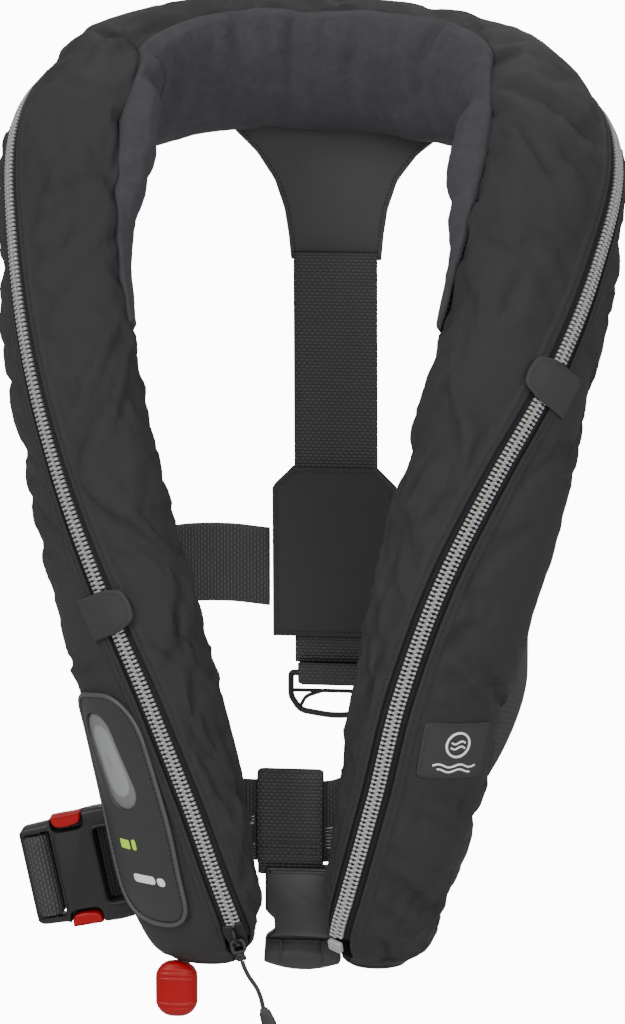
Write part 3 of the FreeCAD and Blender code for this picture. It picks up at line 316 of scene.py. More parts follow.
def inflate_cover():
    """The fabric is cut larger than the roll and pressed out from inside, held along its sewn lines."""
    t = CLOTH_T[:, None]
    degrees = CLOTH_DEG[None, :]
    lift = folds(t, degrees) * (1 - hold(t, degrees))
    start = on_roll(t, degrees, lift * 0.7 - 0.4)
    obj = new_object("cloth_form", new_mesh("cloth_form", start, grid_faces(len(CLOTH_T), CLOTH_COLS, True)))
    pins = obj.vertex_groups.new(name="pins")
    weights = hold(t, degrees).ravel()
    for k, w in enumerate(weights):
        if w > 0.01:
            pins.add([k], float(w), "REPLACE")
    cloth = obj.modifiers.new("cloth", "CLOTH")
    for setting_name, value in CLOTH_SETTINGS.items():
        setattr(cloth.settings, setting_name, value)
    cloth.settings.effector_weights.gravity = 0.0
    cloth.collision_settings.use_collision = False
    cloth.collision_settings.use_self_collision = False
    scene = bpy.context.scene
    scene.frame_start = 1
    scene.frame_end = CLOTH_FRAMES
    for k in range(1, CLOTH_FRAMES + 1):
        scene.frame_set(k)
    found = obj.evaluated_get(bpy.context.evaluated_depsgraph_get()).to_mesh()
    co = np.zeros(len(found.vertices) * 3, np.float32)
    found.vertices.foreach_get("co", co)
    moved = co.reshape(start.shape).astype(float) - on_roll(t, degrees)
    bpy.data.objects.remove(obj)
    scene.frame_set(1)
    return moved


MOST_OUT, MOST_IN = 4 * MM, 5 * MM


def cap(moved):
    """Limits how far the simulated fabric leaves the roll, in, out and sideways."""
    normal = face_normal(CLOTH_T[:, None], CLOTH_DEG[None, :])
    out = dot(moved, normal)
    side = moved - normal * out
    long_way = np.linalg.norm(side, axis=-1, keepdims=True)
    side = side * np.minimum(1, MOST_OUT / np.maximum(long_way, 1e-9))
    limited = np.where(out > 0, MOST_OUT * np.tanh(out / MOST_OUT), MOST_IN * np.tanh(out / MOST_IN))
    free = 1 - hold(CLOTH_T[:, None], CLOTH_DEG[None, :])[..., None]
    return (normal * limited + side) * free


RELIEF = cap(inflate_cover())


def wrinkles(t, degrees):
    """Small creases (mm) scattered over the free fabric, each a narrow valley between two soft banks."""
    t, degrees = np.broadcast_arrays(t, degrees)
    rng = np.random.default_rng(11)
    run = along_mm(t)
    total = np.zeros(t.shape)
    for _ in range(150):
        here = rng.uniform(0, LENGTH[-1])
        angle = rng.uniform(-10, 225)
        turn = rng.normal(0, 42)
        long_half = rng.uniform(12, 34)
        wide_half = rng.uniform(1.8, 4.2)
        depth = rng.uniform(0.5, 1.5)
        bend = rng.uniform(-3, 3)
        v = (degrees - angle + 180) % 360 - 180
        near = np.abs(run - here) < 2.4 * long_half
        near &= np.abs(v) * ROUND_MM < 2.4 * long_half
        u, v = (run - here)[near], (v * ROUND_MM)[near]
        c, s = math.cos(math.radians(turn)), math.sin(math.radians(turn))
        down = u * c + v * s
        across = v * c - u * s + bend * (down / long_half) ** 2
        body = 0.7 * np.exp(-((np.abs(across) - 2.2 * wide_half) / (1.3 * wide_half)) ** 2)
        body -= np.exp(-(across / wide_half) ** 2)
        total[near] += depth * body * np.exp(-(down / long_half) ** 2)
    return total


def relief(t, degrees):
    t, degrees = np.broadcast_arrays(np.asarray(t, float), np.asarray(degrees, float))
    row = np.interp(t, CLOTH_T, np.arange(len(CLOTH_T)))
    col = (degrees % 360) / 360 * CLOTH_COLS
    i = np.minimum(row.astype(int), len(CLOTH_T) - 2)
    j = col.astype(int) % CLOTH_COLS
    k = (j + 1) % CLOTH_COLS
    f = (row - i)[..., None]
    g = (col - np.floor(col))[..., None]
    near = RELIEF[i, j] * (1 - g) + RELIEF[i, k] * g
    far = RELIEF[i + 1, j] * (1 - g) + RELIEF[i + 1, k] * g
    return near * (1 - f) + far * f


def on_cover(t, degrees, lift=0.0):
    t, degrees, lift = np.broadcast_arrays(np.asarray(t, float), np.asarray(degrees, float), lift)
    return on_roll(t, degrees) + relief(t, degrees) + face_normal(t, degrees) * lift[..., None] * MM


# ---------------------------------------------------------------- materials
def add(tree, kind, inputs=None, **settings):
    node = tree.nodes.new(kind)
    for name, value in settings.items():
        setattr(node, name, value)
    for name, value in (inputs or {}).items():
        socket = node.inputs[name]
        if isinstance(value, bpy.types.NodeSocket):
            tree.links.new(value, socket)
        else:
            socket.default_value = value
    return node


def maths(tree, operation, a, b=0.0):
    return add(tree, "ShaderNodeMath", {0: a, 1: b}, operation=operation).outputs[0]


def finish_material(name, colour, rough, height=None, spread=0.12, coarse=60.0, **sockets):
    """A shader with uneven colour and roughness; height(tree, place) gives relief, depth (m) and the
    strength of painted shade: the colour is darkened in the relief's hollows and lightened on its crests.
    """
    mat = bpy.data.materials.new(name)
    mat.use_nodes = True
    tree = mat.node_tree
    shader = tree.nodes["Principled BSDF"]
    place = add(tree, "ShaderNodeTexCoord").outputs["Object"]
    cloud = add(tree, "ShaderNodeTexNoise", {"Vector": place, "Scale": coarse, "Detail": 6.0}).outputs["Fac"]
    dark = tuple(c * (1 - spread) for c in colour)
    light = tuple(min(1, c * (1 + spread)) for c in colour)
    shade = add(tree, "ShaderNodeMix", {"Factor": cloud, "A": (*dark, 1), "B": (*light, 1)},
                data_type="RGBA")
    colour_out = shade.outputs["Result"]
    low = maths(tree, "MULTIPLY", cloud, 0.16)
    tree.links.new(maths(tree, "ADD", low, rough - 0.08), shader.inputs["Roughness"])
    if height:
        relief_out, depth, hollow_shade = height(tree, place)
        bump = add(tree, "ShaderNodeBump", {"Height": relief_out, "Distance": depth, "Strength": 1.0})
        tree.links.new(bump.outputs["Normal"], shader.inputs["Normal"])
        # Painted shade and highlight: the base colour is scaled down where the relief is low and up where it
        # is high.
        if hollow_shade:
            shade_gain = maths(tree, "ADD", maths(tree, "MULTIPLY", relief_out, hollow_shade), 1 - hollow_shade * 0.6)
            shaded_colour = add(tree, "ShaderNodeVectorMath", {0: colour_out, "Scale": shade_gain}, operation="SCALE")
            colour_out = shaded_colour.outputs[0]
    tree.links.new(colour_out, shader.inputs["Base Color"])
    for socket, value in sockets.items():
        shader.inputs[socket.replace("_", " ")].default_value = value
    return mat


def cloth_axes(tree):
    place = add(tree, "ShaderNodeAttribute", attribute_name="cloth").outputs["Vector"]
    parts = add(tree, "ShaderNodeSeparateXYZ", {"Vector": place})
    return parts.outputs["X"], parts.outputs["Y"]


def wave(tree, value, pitch, shift=0.0):
    turn = maths(tree, "MULTIPLY", value, 2 * math.pi / pitch)
    return maths(tree, "SINE", maths(tree, "ADD", turn, shift))


# Its last argument is the strength of the painted shade in the hollows between the threads.
def twill(pitch, depth, hollow_shade):
    """Fine diagonal ribs crossed by weft threads."""
    def height(tree, place):
        u, v = cloth_axes(tree)
        rib = wave(tree, maths(tree, "ADD", u, v), pitch)
        weft = wave(tree, maths(tree, "SUBTRACT", v, u), pitch * 0.5)
        threads = maths(tree, "MULTIPLY", maths(tree, "ADD", maths(tree, "MULTIPLY", rib, weft), 1.0), 0.5)
        slub = add(tree, "ShaderNodeTexNoise",
                   {"Vector": place, "Scale": 900.0, "Detail": 2.0}).outputs["Fac"]
        thread_part = maths(tree, "MULTIPLY", threads, 0.75)
        return maths(tree, "ADD", thread_part, maths(tree, "MULTIPLY", slub, 0.25)), depth, hollow_shade
    return height


# Its last argument is the strength of the painted shade in the hollows between the thread loops.
def webbing_weave(row_pitch, thread_pitch, depth, hollow_shade):
    """Rows of short thread loops across the band, every other row shifted by half a loop."""
    def height(tree, place):
        u, v = cloth_axes(tree)
        row = maths(tree, "ABSOLUTE", wave(tree, u, row_pitch * 2))
        parity = maths(tree, "GREATER_THAN", wave(tree, u, row_pitch * 2), 0.0)
        turn = maths(tree, "MULTIPLY", v, 2 * math.pi / thread_pitch)
        shifted = maths(tree, "ADD", turn, maths(tree, "MULTIPLY", parity, math.pi))
        loop = maths(tree, "ADD", maths(tree, "MULTIPLY", maths(tree, "SINE", shifted), 0.35), 0.65)
        return maths(tree, "MULTIPLY", row, loop), depth, hollow_shade
    return height


def pile(tree, place):
    """Short brushed fibres in soft clumps."""
    fine = add(tree, "ShaderNodeTexNoise",
               {"Vector": place, "Scale": 1400.0, "Detail": 4.0, "Roughness": 0.75})
    clump = add(tree, "ShaderNodeTexNoise", {"Vector": place, "Scale": 220.0, "Detail": 3.0})
    mixed = maths(tree, "ADD", maths(tree, "MULTIPLY", fine.outputs["Fac"], 0.6),
                  maths(tree, "MULTIPLY", clump.outputs["Fac"], 0.4))
    # 0.7 is the strength of the painted shade between the fibres.
    return mixed, 0.0009, 0.7


def grain(scale, depth):
    """Fine spark-eroded or moulded texture."""
    def height(tree, place):
        cells = add(tree, "ShaderNodeTexVoronoi", {"Vector": place, "Scale": scale}).outputs["Distance"]
        fine = add(tree, "ShaderNodeTexNoise",
                   {"Vector": place, "Scale": scale * 1.7, "Detail": 3.0}).outputs["Fac"]
        cell_part = maths(tree, "MULTIPLY", cells, 0.5)
        return maths(tree, "ADD", cell_part, maths(tree, "MULTIPLY", fine, 0.5)), depth, 0.0
    return height


LESS_SHINE = {"Specular_IOR_Level": 0.25}
# Each finish: colour, roughness, relief (with the strength of its painted shade in the hollows), unevenness
# of the colour, its scale, and any further sockets.
FINISHES = {
    "cover_nylon": ((0.028, 0.028, 0.0285), 0.62, twill(0.0013, 0.0003, 0.50), 0.10, 40.0,
               {"Specular_IOR_Level": 0.28}),
    "fleece": ((0.048, 0.046, 0.053), 0.95, pile, 0.22, 130.0,
               {"Sheen_Weight": 0.05, "Sheen_Roughness": 0.6, "Specular_IOR_Level": 0.1}),
    "webbing": ((0.050, 0.050, 0.051), 0.66, webbing_weave(0.0021, 0.0034, 0.0006, 0.75), 0.12, 90.0,
               {"Specular_IOR_Level": 0.3}),
    "zip_tape": ((0.012, 0.012, 0.014), 0.8, webbing_weave(0.0009, 0.0012, 0.0002, 0.5), 0.15, 120.0,
               LESS_SHINE),
    "patch_cloth": ((0.038, 0.038, 0.039), 0.7, twill(0.0009, 0.00012, 0.25), 0.10, 50.0, LESS_SHINE),
    "thread": ((0.020, 0.020, 0.022), 0.75, grain(2600.0, 0.0001), 0.2, 300.0, {}),
    "white_thread": ((0.70, 0.70, 0.72), 0.8, grain(2600.0, 0.0001), 0.1, 300.0, {}),
    "window_panel": ((0.030, 0.030, 0.031), 0.5, grain(1800.0, 0.00003), 0.05, 30.0,
               {"Specular_IOR_Level": 0.35}),
    "piping": ((0.055, 0.055, 0.057), 0.5, grain(1500.0, 0.00004), 0.08, 60.0, {}),
    "zip_metal": ((0.33, 0.335, 0.34), 0.36, grain(900.0, 0.00003), 0.22, 420.0, {}),
    "dark_metal": ((0.022, 0.022, 0.024), 0.42, grain(700.0, 0.00004), 0.2, 200.0, {"Metallic": 0.6}),
    "pull_rubber": ((0.022, 0.022, 0.023), 0.6, grain(1300.0, 0.00005), 0.15, 150.0, {}),
    "cord": ((0.020, 0.020, 0.021), 0.75, grain(1500.0, 0.0002), 0.3, 700.0, {}),
    # yoke_cloth: a lighter copy of patch_cloth, painted light that lifts the yoke, which sits in shade.
    "yoke_cloth": ((0.046, 0.046, 0.0467), 0.7, twill(0.0009, 0.00012, 0.25), 0.10, 90.0,
               {"Sheen_Weight": 0.06}),
    # tongue_plastic: a lighter copy of black_plastic, painted light that lifts the buckle tongue out of its
    # shade.
    "tongue_plastic": ((0.036, 0.036, 0.0365), 0.46, grain(1600.0, 0.00005), 0.10, 90.0, {}),
    "black_plastic": ((0.018, 0.018, 0.0185), 0.46, grain(1600.0, 0.00005), 0.10, 60.0,
               {"Specular_IOR_Level": 0.3}),
    "grey_plastic": ((0.33, 0.33, 0.33), 0.5, grain(1200.0, 0.00004), 0.08, 90.0, {}),
    "red_plastic": ((0.33, 0.003, 0.005), 0.42, grain(1000.0, 0.00003), 0.10, 50.0, LESS_SHINE),
    "white_plastic": ((0.66, 0.67, 0.68), 0.42, grain(900.0, 0.00003), 0.04, 40.0, {}),
    "beige_plastic": ((0.36, 0.34, 0.29), 0.5, grain(900.0, 0.00004), 0.08, 60.0, {}),
    "steel": ((0.50, 0.51, 0.53), 0.35, grain(600.0, 0.00003), 0.1, 90.0, {"Metallic": 0.9}),
    "gasket": ((0.015, 0.015, 0.015), 0.7, grain(1100.0, 0.00005), 0.15, 120.0, {}),
    "bladder": ((0.66, 0.52, 0.04), 0.55, twill(0.0008, 0.0001, 0.15), 0.08, 60.0, {}),
    "signal_orange": ((0.75, 0.20, 0.02), 0.42, grain(1000.0, 0.00003), 0.06, 60.0, {}),
    "lime_print": ((0.50, 0.86, 0.02), 0.5, grain(1500.0, 0.00003), 0.06, 90.0, {}),
    "white_print": ((0.80, 0.80, 0.80), 0.5, grain(1500.0, 0.00003), 0.04, 90.0, {}),
    "clear": ((0.90, 0.92, 0.93), 0.14, grain(60.0, 0.0002), 0.02, 30.0, {"Alpha": 0.16}),
}
MATERIALS = {
    name: finish_material(name, colour, rough, height, spread, coarse, **sockets)
    for name, (colour, rough, height, spread, coarse, sockets) in FINISHES.items()
}


# ---------------------------------------------------------------- making and placing pieces
def dress(obj, material, cloth=None):
    obj.data.materials.clear()
    obj.data.materials.append(MATERIALS[material])
    if cloth is not None:
        flat = np.zeros((len(obj.data.vertices), 3), np.float32)
        flat[:, :2] = np.asarray(cloth, np.float32).reshape(-1, 2)
        attribute = obj.data.attributes.new("cloth", "FLOAT_VECTOR", "POINT")
        attribute.data.foreach_set("vector", flat.ravel())
    for polygon in obj.data.polygons:
        polygon.use_smooth = True
    return obj


def place(obj, body, slot, *nodes):
    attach(obj, body)
    if nodes:
        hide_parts(*nodes)
    return obj


def surface(name, points, material, cloth, thick=0.0, closed=False):
    """A grid of points; thick (mm) makes it a solid skin, inwards."""
    rows, cols = points.shape[:2]
    obj = new_object(name, new_mesh(name, points, grid_faces(rows, cols, closed)))
    dress(obj, material, cloth)
    if thick:
        skin = obj.modifiers.new("skin", "SOLIDIFY")
        skin.thickness = thick * MM
        skin.offset = -1
        skin.use_even_offset = False
    return obj


def scatter(name, base, faces, spots, x_dirs, y_dirs, z_dirs, material):
    """Copies one small form onto many frames, as one mesh."""
    base = np.asarray(base, float) * MM
    count = len(base)
    verts = (spots[:, None, :] + x_dirs[:, None, :] * base[None, :, 0:1] + y_dirs[:, None, :] * base[None, :,
                                                                                                     1:2]
             + z_dirs[:, None, :] * base[None, :, 2:3])
    every = [tuple(v + k * count for v in face) for k in range(len(spots)) for face in faces]
    return dress(new_object(name, new_mesh(name, verts, every)), material)


def faced_out(obj):
    """The object with every face turned outwards."""
    bm = bmesh.new()
    bm.from_mesh(obj.data)
    bmesh.ops.recalc_face_normals(bm, faces=bm.faces)
    bm.to_mesh(obj.data)
    bm.free()
    return obj


def looped(line):
    """A closed outline with its first point again at its end."""
    return np.vstack([line, line[:1]])


def ring_faces(rings, cols):
    """Side faces between stacked rings of points, with a cap at each end."""
    faces = []
    for i in range(rings - 1):
        for j in range(cols):
            k = (j + 1) % cols
            faces.append((i * cols + j, i * cols + k, (i + 1) * cols + k, (i + 1) * cols + j))
    faces.append(tuple(reversed(range(cols))))
    faces.append(tuple((rings - 1) * cols + j for j in range(cols)))
    return faces


def resampled(points, normals, pitch):
    """Evenly spaced places (m) on a line, with its direction and normal."""
    run = run_of(points)
    count = max(1, int(run[-1] / (pitch * MM)))
    goals = (np.arange(count) + 0.5) * run[-1] / count
    spot = np.stack([np.interp(goals, run, points[:, k]) for k in range(3)], -1)
    ahead = np.stack([np.interp(goals + 0.4 * MM, run, points[:, k]) for k in range(3)], -1)
    back = np.stack([np.interp(goals - 0.4 * MM, run, points[:, k]) for k in range(3)], -1)
    way = unit(ahead - back)
    out = np.stack([np.interp(goals, run, normals[:, k]) for k in range(3)], -1)
    out = unit(out - way * dot(way, out))
    return spot, way, out


STITCH_TURN = [2 * math.pi * k / 6 for k in range(6)]


def stitches(name, points, normals, body, slot, pitch=3.2, long_half=1.15, thick=0.36, material="thread"):
    """A row of short threads, each dipping into the cloth at its ends."""
    spot, way, out = resampled(points, normals, pitch)
    base = []
    for x, size, rise in ((-1, 0.35, -0.25), (-0.62, 1, 0.05), (0, 1.1, 0.14), (0.62, 1, 0.05),
                          (1, 0.35, -0.25)):
        for turn in STITCH_TURN:
            base.append((x * long_half, thick * size * math.cos(turn), thick * size * math.sin(turn) + rise))
    obj = scatter(name, base, ring_faces(5, 6), spot, way, np.cross(out, way), out, material)
    return place(obj, body, slot)


def frame_at(origin, x_axis, z_axis):
    """Columns x, y, z and the origin, as a 4 by 4 matrix."""
    z = unit(np.asarray(z_axis, float))
    x = np.asarray(x_axis, float)
    x = unit(x - z * np.dot(x, z))
    y = np.cross(z, x)
    matrix = np.eye(4)
    matrix[:3, 0], matrix[:3, 1], matrix[:3, 2], matrix[:3, 3] = x, y, z, origin
    return matrix


def to_frame(matrix, points):
    """Points in mm in a frame, as metres in the row frame."""
    return np.asarray(points, float) * MM @ matrix[:3, :3].T + matrix[:3, 3]


def rounded(corners, radius, steps=6):
    """A closed outline whose corners are arcs."""
    radii = radius if hasattr(radius, "__len__") else [radius] * len(corners)
    found = []
    for k, (corner, r) in enumerate(zip(corners, radii)):
        here = np.array(corner, float)
        come = unit(here - np.array(corners[k - 1], float))
        go = unit(np.array(corners[(k + 1) % len(corners)], float) - here)
        half = math.acos(max(-1, min(1, float(come @ go)))) / 2
        if r <= 0 or half < 0.01:
            found.append(here)
            continue
        cut = r * math.tan(half)
        first, last = here - come * cut, here + go * cut
        for step in range(steps + 1):
            f = step / steps
            found.append(first * (1 - f) ** 2 + 2 * here * f * (1 - f) + last * f ** 2)
    return np.array(found)


def resized(outline, inset):
    """An outline moved inwards by the inset, along its corner normals."""
    ahead = np.roll(outline, -1, 0) - outline
    behind = outline - np.roll(outline, 1, 0)
    way = unit(unit(ahead) + unit(behind))
    inward = np.stack([-way[:, 1], way[:, 0]], -1)
    if area_of(outline) < 0:
        inward = -inward
    return outline + inward * inset


def area_of(outline):
    x, y = outline[:, 0], outline[:, 1]
    return 0.5 * float(np.sum(x * np.roll(y, -1) - y * np.roll(x, -1)))


def anticlockwise(outline):
    return outline if area_of(outline) > 0 else outline[::-1]


def prism(name, outline, low, high, matrix, material, edge=0.6, bend=None):
    """A flat piece of any outline with rounded edges; bend(points in mm) can curve it."""
    outline = anticlockwise(np.asarray(outline, float))
    rings = []
    for inset, rise in ((edge, 0), (edge * 0.3, edge * 0.3), (0, edge)):
        rings.append((resized(outline, inset), low + rise))
    for inset, rise in ((0, edge), (edge * 0.3, edge * 0.3), (edge, 0)):
        rings.append((resized(outline, inset), high - rise))
    points = np.concatenate([np.column_stack([ring, np.full(len(ring), z)]) for ring, z in rings])
    if bend:
        points = bend(points)
    obj = new_object(name, new_mesh(name, to_frame(matrix, points), ring_faces(len(rings), len(outline))))
    dress(obj, material, points[:, :2] * MM)
    for polygon in obj.data.polygons[-2:]:
        polygon.use_smooth = False
    return obj


def pillow(name, outline, low, high, dome, matrix, material, bend=None, rings=10, edge=0.8):
    """A sewn or moulded pad: a domed top that falls to a rounded edge."""
    outline = anticlockwise(np.asarray(outline, float))
    middle = outline.mean(0)
    rows = [np.column_stack([resized(outline, edge), np.full(len(outline), low)])]
    rows.append(np.column_stack([outline, np.full(len(outline), low + edge)]))
    rows.append(np.column_stack([outline, np.full(len(outline), high - edge)]))
    for k in range(rings):
        f = k / rings
        inner = resized(outline, edge) * (1 - f) + middle * f
        rows.append(np.column_stack([inner, np.full(len(outline), high + dome * (1 - (1 - f) ** 3))]))
    points = np.concatenate(rows)
    if bend:
        points = bend(points)
    obj = new_object(name, new_mesh(name, to_frame(matrix, points), ring_faces(len(rows), len(outline))))
    return dress(obj, material, points[:, :2] * MM)


def baked(obj):
    """The object with its modifiers applied."""
    found = obj.evaluated_get(bpy.context.evaluated_depsgraph_get())
    mesh = bpy.data.meshes.new_from_object(found)
    obj.modifiers.clear()
    obj.data = mesh
    return obj


def merged(name, objects):
    bm = bmesh.new()
    materials = []
    for obj in objects:
        for mat in obj.data.materials:
            if mat not in materials:
                materials.append(mat)
    for obj in objects:
        start = len(bm.faces)
        bm.from_mesh(obj.data)
        bm.faces.ensure_lookup_table()
        slot = materials.index(obj.data.materials[0]) if obj.data.materials else 0
        for face in bm.faces[start:]:
            face.material_index = slot
        bpy.data.objects.remove(obj)
    mesh = bpy.data.meshes.new(name)
    bm.to_mesh(mesh)
    bm.free()
    for mat in materials:
        mesh.materials.append(mat)
    return new_object(name, mesh)


def cut_out(obj, tools):
    for tool in tools:
        cut = obj.modifiers.new("cut", "BOOLEAN")
        cut.operation = "DIFFERENCE"
        cut.object = tool
        cut.solver = "EXACT"
    baked(obj)
    for tool in tools:
        bpy.data.objects.remove(tool)
    return obj


def bevelled(obj, width, segments=3, angle=35):
    edge = obj.modifiers.new("edge", "BEVEL")
    edge.width = width * MM
    edge.segments = segments
    edge.limit_method = "ANGLE"
    edge.angle_limit = math.radians(angle)
    edge.harden_normals = False
    return obj


BAND_COLS = 19


def band(name, route, width, node, fine=6, body="jacket", thick=2.2):
    """A woven band: stops of point, width direction and face normal (mm), with rounded selvedges."""
    table = padded_table([tuple(p) + tuple(a) + tuple(n) for p, a, n in route])
    count = (len(route) - 1) * fine + 1
    rows = between(table, np.linspace(0, len(route) - 1, count))
    middle, side, rise = rows[:, :3], unit(rows[:, 3:6]), unit(rows[:, 6:9])
    run = run_of(middle)
    x = np.concatenate([np.linspace(-1, 1, BAND_COLS), np.linspace(1, -1, BAND_COLS)])
    edge = (1 - np.abs(x) ** 14) ** 0.5
    z = np.where(np.arange(len(x)) < BAND_COLS, 1, -1) * (0.55 * edge + 0.45 * (np.abs(x) < 0.995))
    points = (middle[:, None] + side[:, None] * (x * width / 2)[None, :, None]
              + rise[:, None] * (z * thick / 2)[None, :, None]) * MM
    flat = np.stack(np.broadcast_arrays(run[:, None] * MM, (x * width / 2)[None, :] * MM), -1)
    obj = dress(new_object(name, new_mesh(name, points, tube_faces(count, len(x)))), "webbing", flat)
    faced_out(obj)
    return place(obj, body, "webbing", node)


# ---------------------------------------------------------------- the cover
def panel_gap(t):
    past_end = np.maximum(np.maximum(ZIP_START - 0.55 - t, t - ZIP_END - 0.5), 0)
    return np.maximum(0.4, ZIP_HALF_GAP * (1 - past_end / 0.4))


# Distance from the folded edge (mm) and lift (mm): the turned edge, the stitched band and the step off it.
FOLDED_EDGE = [(0.5, -1.7), (0.1, -1.0), (0.0, -0.2), (0.25, 0.45), (0.8, 0.75), (1.8, 0.8), (2.6, 0.6),
               (3.0, 0.5),
               (3.4, 0.6), (4.4, 0.8), (5.6, 0.75), (6.4, 0.5), (7.0, 0.1), (7.8, -0.05), (9.5, 0.0),
               (12.0, 0.0)]


def under_fleece(t, degrees):
    """0 outside the collar lining and 1 well inside it, where the cover lies drawn in below the lining."""
    t, degrees = np.broadcast_arrays(t, degrees)
    turns = np.where(degrees < 0, degrees + 360, degrees)
    round_gap = np.minimum(turns - fleece_edge(t), FLEECE_FAR - turns) * ROUND_MM
    end_gap = np.minimum(along_mm(t) - along_mm(FLEECE_FIRST), along_mm(FLEECE_FIRST + 12.0) - along_mm(t))
    return np.clip((np.minimum(round_gap, end_gap) - 4) / 12, 0, 1)


def cover_panel(name, side, node):
    """Side -1: from the zip round the outer edge to the body seam. Side 1: on to the inner edge."""
    t = stops(0, LAST, 3.6)[:, None]
    start = turned(t, zip_angle(t), side * panel_gap(t))
    near = np.array([d for d, lift in FOLDED_EDGE])[None, :]
    edge_lift = np.array([lift for d, lift in FOLDED_EDGE])[None, :]
    near_angles = turned(t, start, side * near)
    far = SEAM - 360 if side < 0 else SEAM
    cols = 84 if side < 0 else 44
    share = np.linspace(0, 1, cols)[None, 1:]
    rest = near_angles[:, -1:] + (far - near_angles[:, -1:]) * share
    angles = np.concatenate([near_angles, rest], 1)
    past = np.clip(1 - np.maximum(ZIP_START - 0.5 - t, t - ZIP_END - 0.4) / 0.3, 0, 1)
    lift = np.concatenate([edge_lift * past, np.zeros(rest.shape)], 1)
    seam_gap = np.abs(angles - far) * ROUND_MM
    lift = lift - 0.9 * np.exp(-(seam_gap / 1.6) ** 2)
    free = 1 - hold(t, angles)
    broad = 1.5 * hills(along_mm(t + 0 * angles), angles * ROUND_MM, 21.0 + side, 42.0)
    fine = 0.3 * hills(along_mm(t + 0 * angles), angles * ROUND_MM, 7.0 + side, 9.0)
    lift = lift + (wrinkles(t, angles) + broad + fine) * free - 6.0 * under_fleece(t, angles)
    points = on_cover(t, angles, lift)
    flat = np.stack(np.broadcast_arrays(along_mm(t) * MM, angles * ROUND_MM * MM), -1)
    if side < 0:
        points, flat = points[:, ::-1], flat[:, ::-1]
    obj = surface(name, points, "cover_nylon", flat, thick=0.9)
    place(obj, "jacket", "cover_nylon", node)


def lobe_end(name, inward, end, node):
    """The folded, sewn end of a lobe: it tucks under the panels and closes in a soft dome."""
    turns = np.linspace(0, 360, 64, endpoint=False)
    rows = []
    flats = []
    for step in range(8):
        t = end + inward * (0.5 - 0.5 * step / 7)
        rows.append(on_roll(t, turns, -1.0 + 0.9 * step / 7))
        flats.append(np.stack([np.full(64, step * 1.6), turns * ROUND_MM], -1) * MM)
    centre, along = roll(float(end))[:2]
    for step in range(1, 9):
        f = math.cos(math.pi / 2 * step / 8)
        drop = -along * inward * 4.2 * MM * math.sin(math.pi / 2 * step / 8)
        rows.append(centre + (rows[7] - centre) * max(f, 0.02) + drop)
        flats.append(np.stack([np.full(64, 12 + step * 2.0), turns * ROUND_MM], -1) * MM)
    points = np.array(rows)
    rows_count, cols = points.shape[:2]
    mesh = new_mesh(name, points, tube_faces(rows_count, cols))
    obj = dress(new_object(name, mesh), "cover_nylon", np.array(flats))
    faced_out(obj)
    return place(obj, "jacket", "cover_nylon", node)


def puff(t, degrees):
    """Extra thickness (mm) of the padded fleece at the collar's two inner corners and over the nape."""
    t, degrees = np.broadcast_arrays(t, degrees)
    total = np.zeros(t.shape)
    for place_t, angle, long_half, round_half, height in (
            (8.6, 196, 38, 26, 11), (17.3, 200, 40, 26, 13), (12.9, 214, 70, 24, 6), (10.6, 205, 34, 22, 5),
            (15.6, 205, 34, 22, 6)):
        u = (along_mm(t) - along_mm(place_t)) / long_half
        v = (degrees - angle) * ROUND_MM / round_half
        total += height * np.exp(-u ** 2 - v ** 2)
    return total


CREASES = [(11.2, 205, 88, 30, 5, 3.4), (13.2, 200, 80, 40, 6, 5.0), (14.4, 215, 98, 30, 5, 3.4),
           (9.6, 215, 60, 34, 6, 4.4), (16.4, 205, 118, 34, 6, 4.6), (17.6, 225, 70, 28, 5, 3.2),
           (8.2, 230, 110, 28, 5, 3.0), (12.2, 235, 84, 26, 5, 3.0), (15.5, 232, 100, 28, 5, 3.2)]


def creases(t, degrees):
    total = np.zeros(np.broadcast(t, degrees).shape)
    for place_t, angle, turn, long_half, wide_half, depth in CREASES:
        u = along_mm(t) - along_mm(place_t)
        v = (degrees - angle) * ROUND_MM
        c, s = math.cos(math.radians(turn)), math.sin(math.radians(turn))
        across = -u * s + v * c + 2.5 * np.sin((u * c + v * s) / 11)
        body = np.exp(-(across / wide_half) ** 2)
        body = body - 0.4 * np.exp(-((np.abs(across) - 2.4 * wide_half) / 5) ** 2)
        total -= depth * body * np.exp(-((u * c + v * s) / long_half) ** 2)
    return total


def collar():
    t = stops(FLEECE_FIRST + 0.05, FLEECE_FIRST + 11.95, 2.2)[:, None]
    start = fleece_edge(t)
    share = np.linspace(0, 1, 110)[None, :]
    angles = start + (FLEECE_FAR - start) * share
    rim = np.minimum(share, 1 - share) * 160
    ends = np.minimum(along_mm(t) - along_mm(t[0]), along_mm(t[-1]) - along_mm(t))
    edge = np.minimum(rim, ends)
    body = np.sqrt(1 - (1 - np.clip(edge / 4.0, 0, 1)) ** 2)
    run = along_mm(t + 0 * angles)
    fuzz = 0.35 * hills(run, angles * ROUND_MM, 1.0, 2.6) + 0.9 * hills(run, angles * ROUND_MM, 5.0, 17.0)
    lift = -0.6 + 3.2 * body + (puff(t, angles) + creases(t, angles) + fuzz) * np.clip(edge / 14, 0, 1)
    flat = np.stack(np.broadcast_arrays(run * MM, angles * ROUND_MM * MM), -1)
    points = on_roll(t, angles) + relief(t, angles) * 0.3 + face_normal(t, angles) * lift[..., None] * MM
    obj = surface("collar_lining", points, "fleece", flat, thick=1.2)
    place(obj, "jacket", "fleece", "collar_fleece")
    line_t = stops(FLEECE_FIRST + 0.05, FLEECE_FIRST + 11.95, 2.0)
    line = on_cover(line_t, fleece_edge(line_t) + 2.6, 1.3)
    stitches("collar_stitches", line, face_normal(line_t, fleece_edge(line_t)), "jacket", "cover_nylon", 3.4)


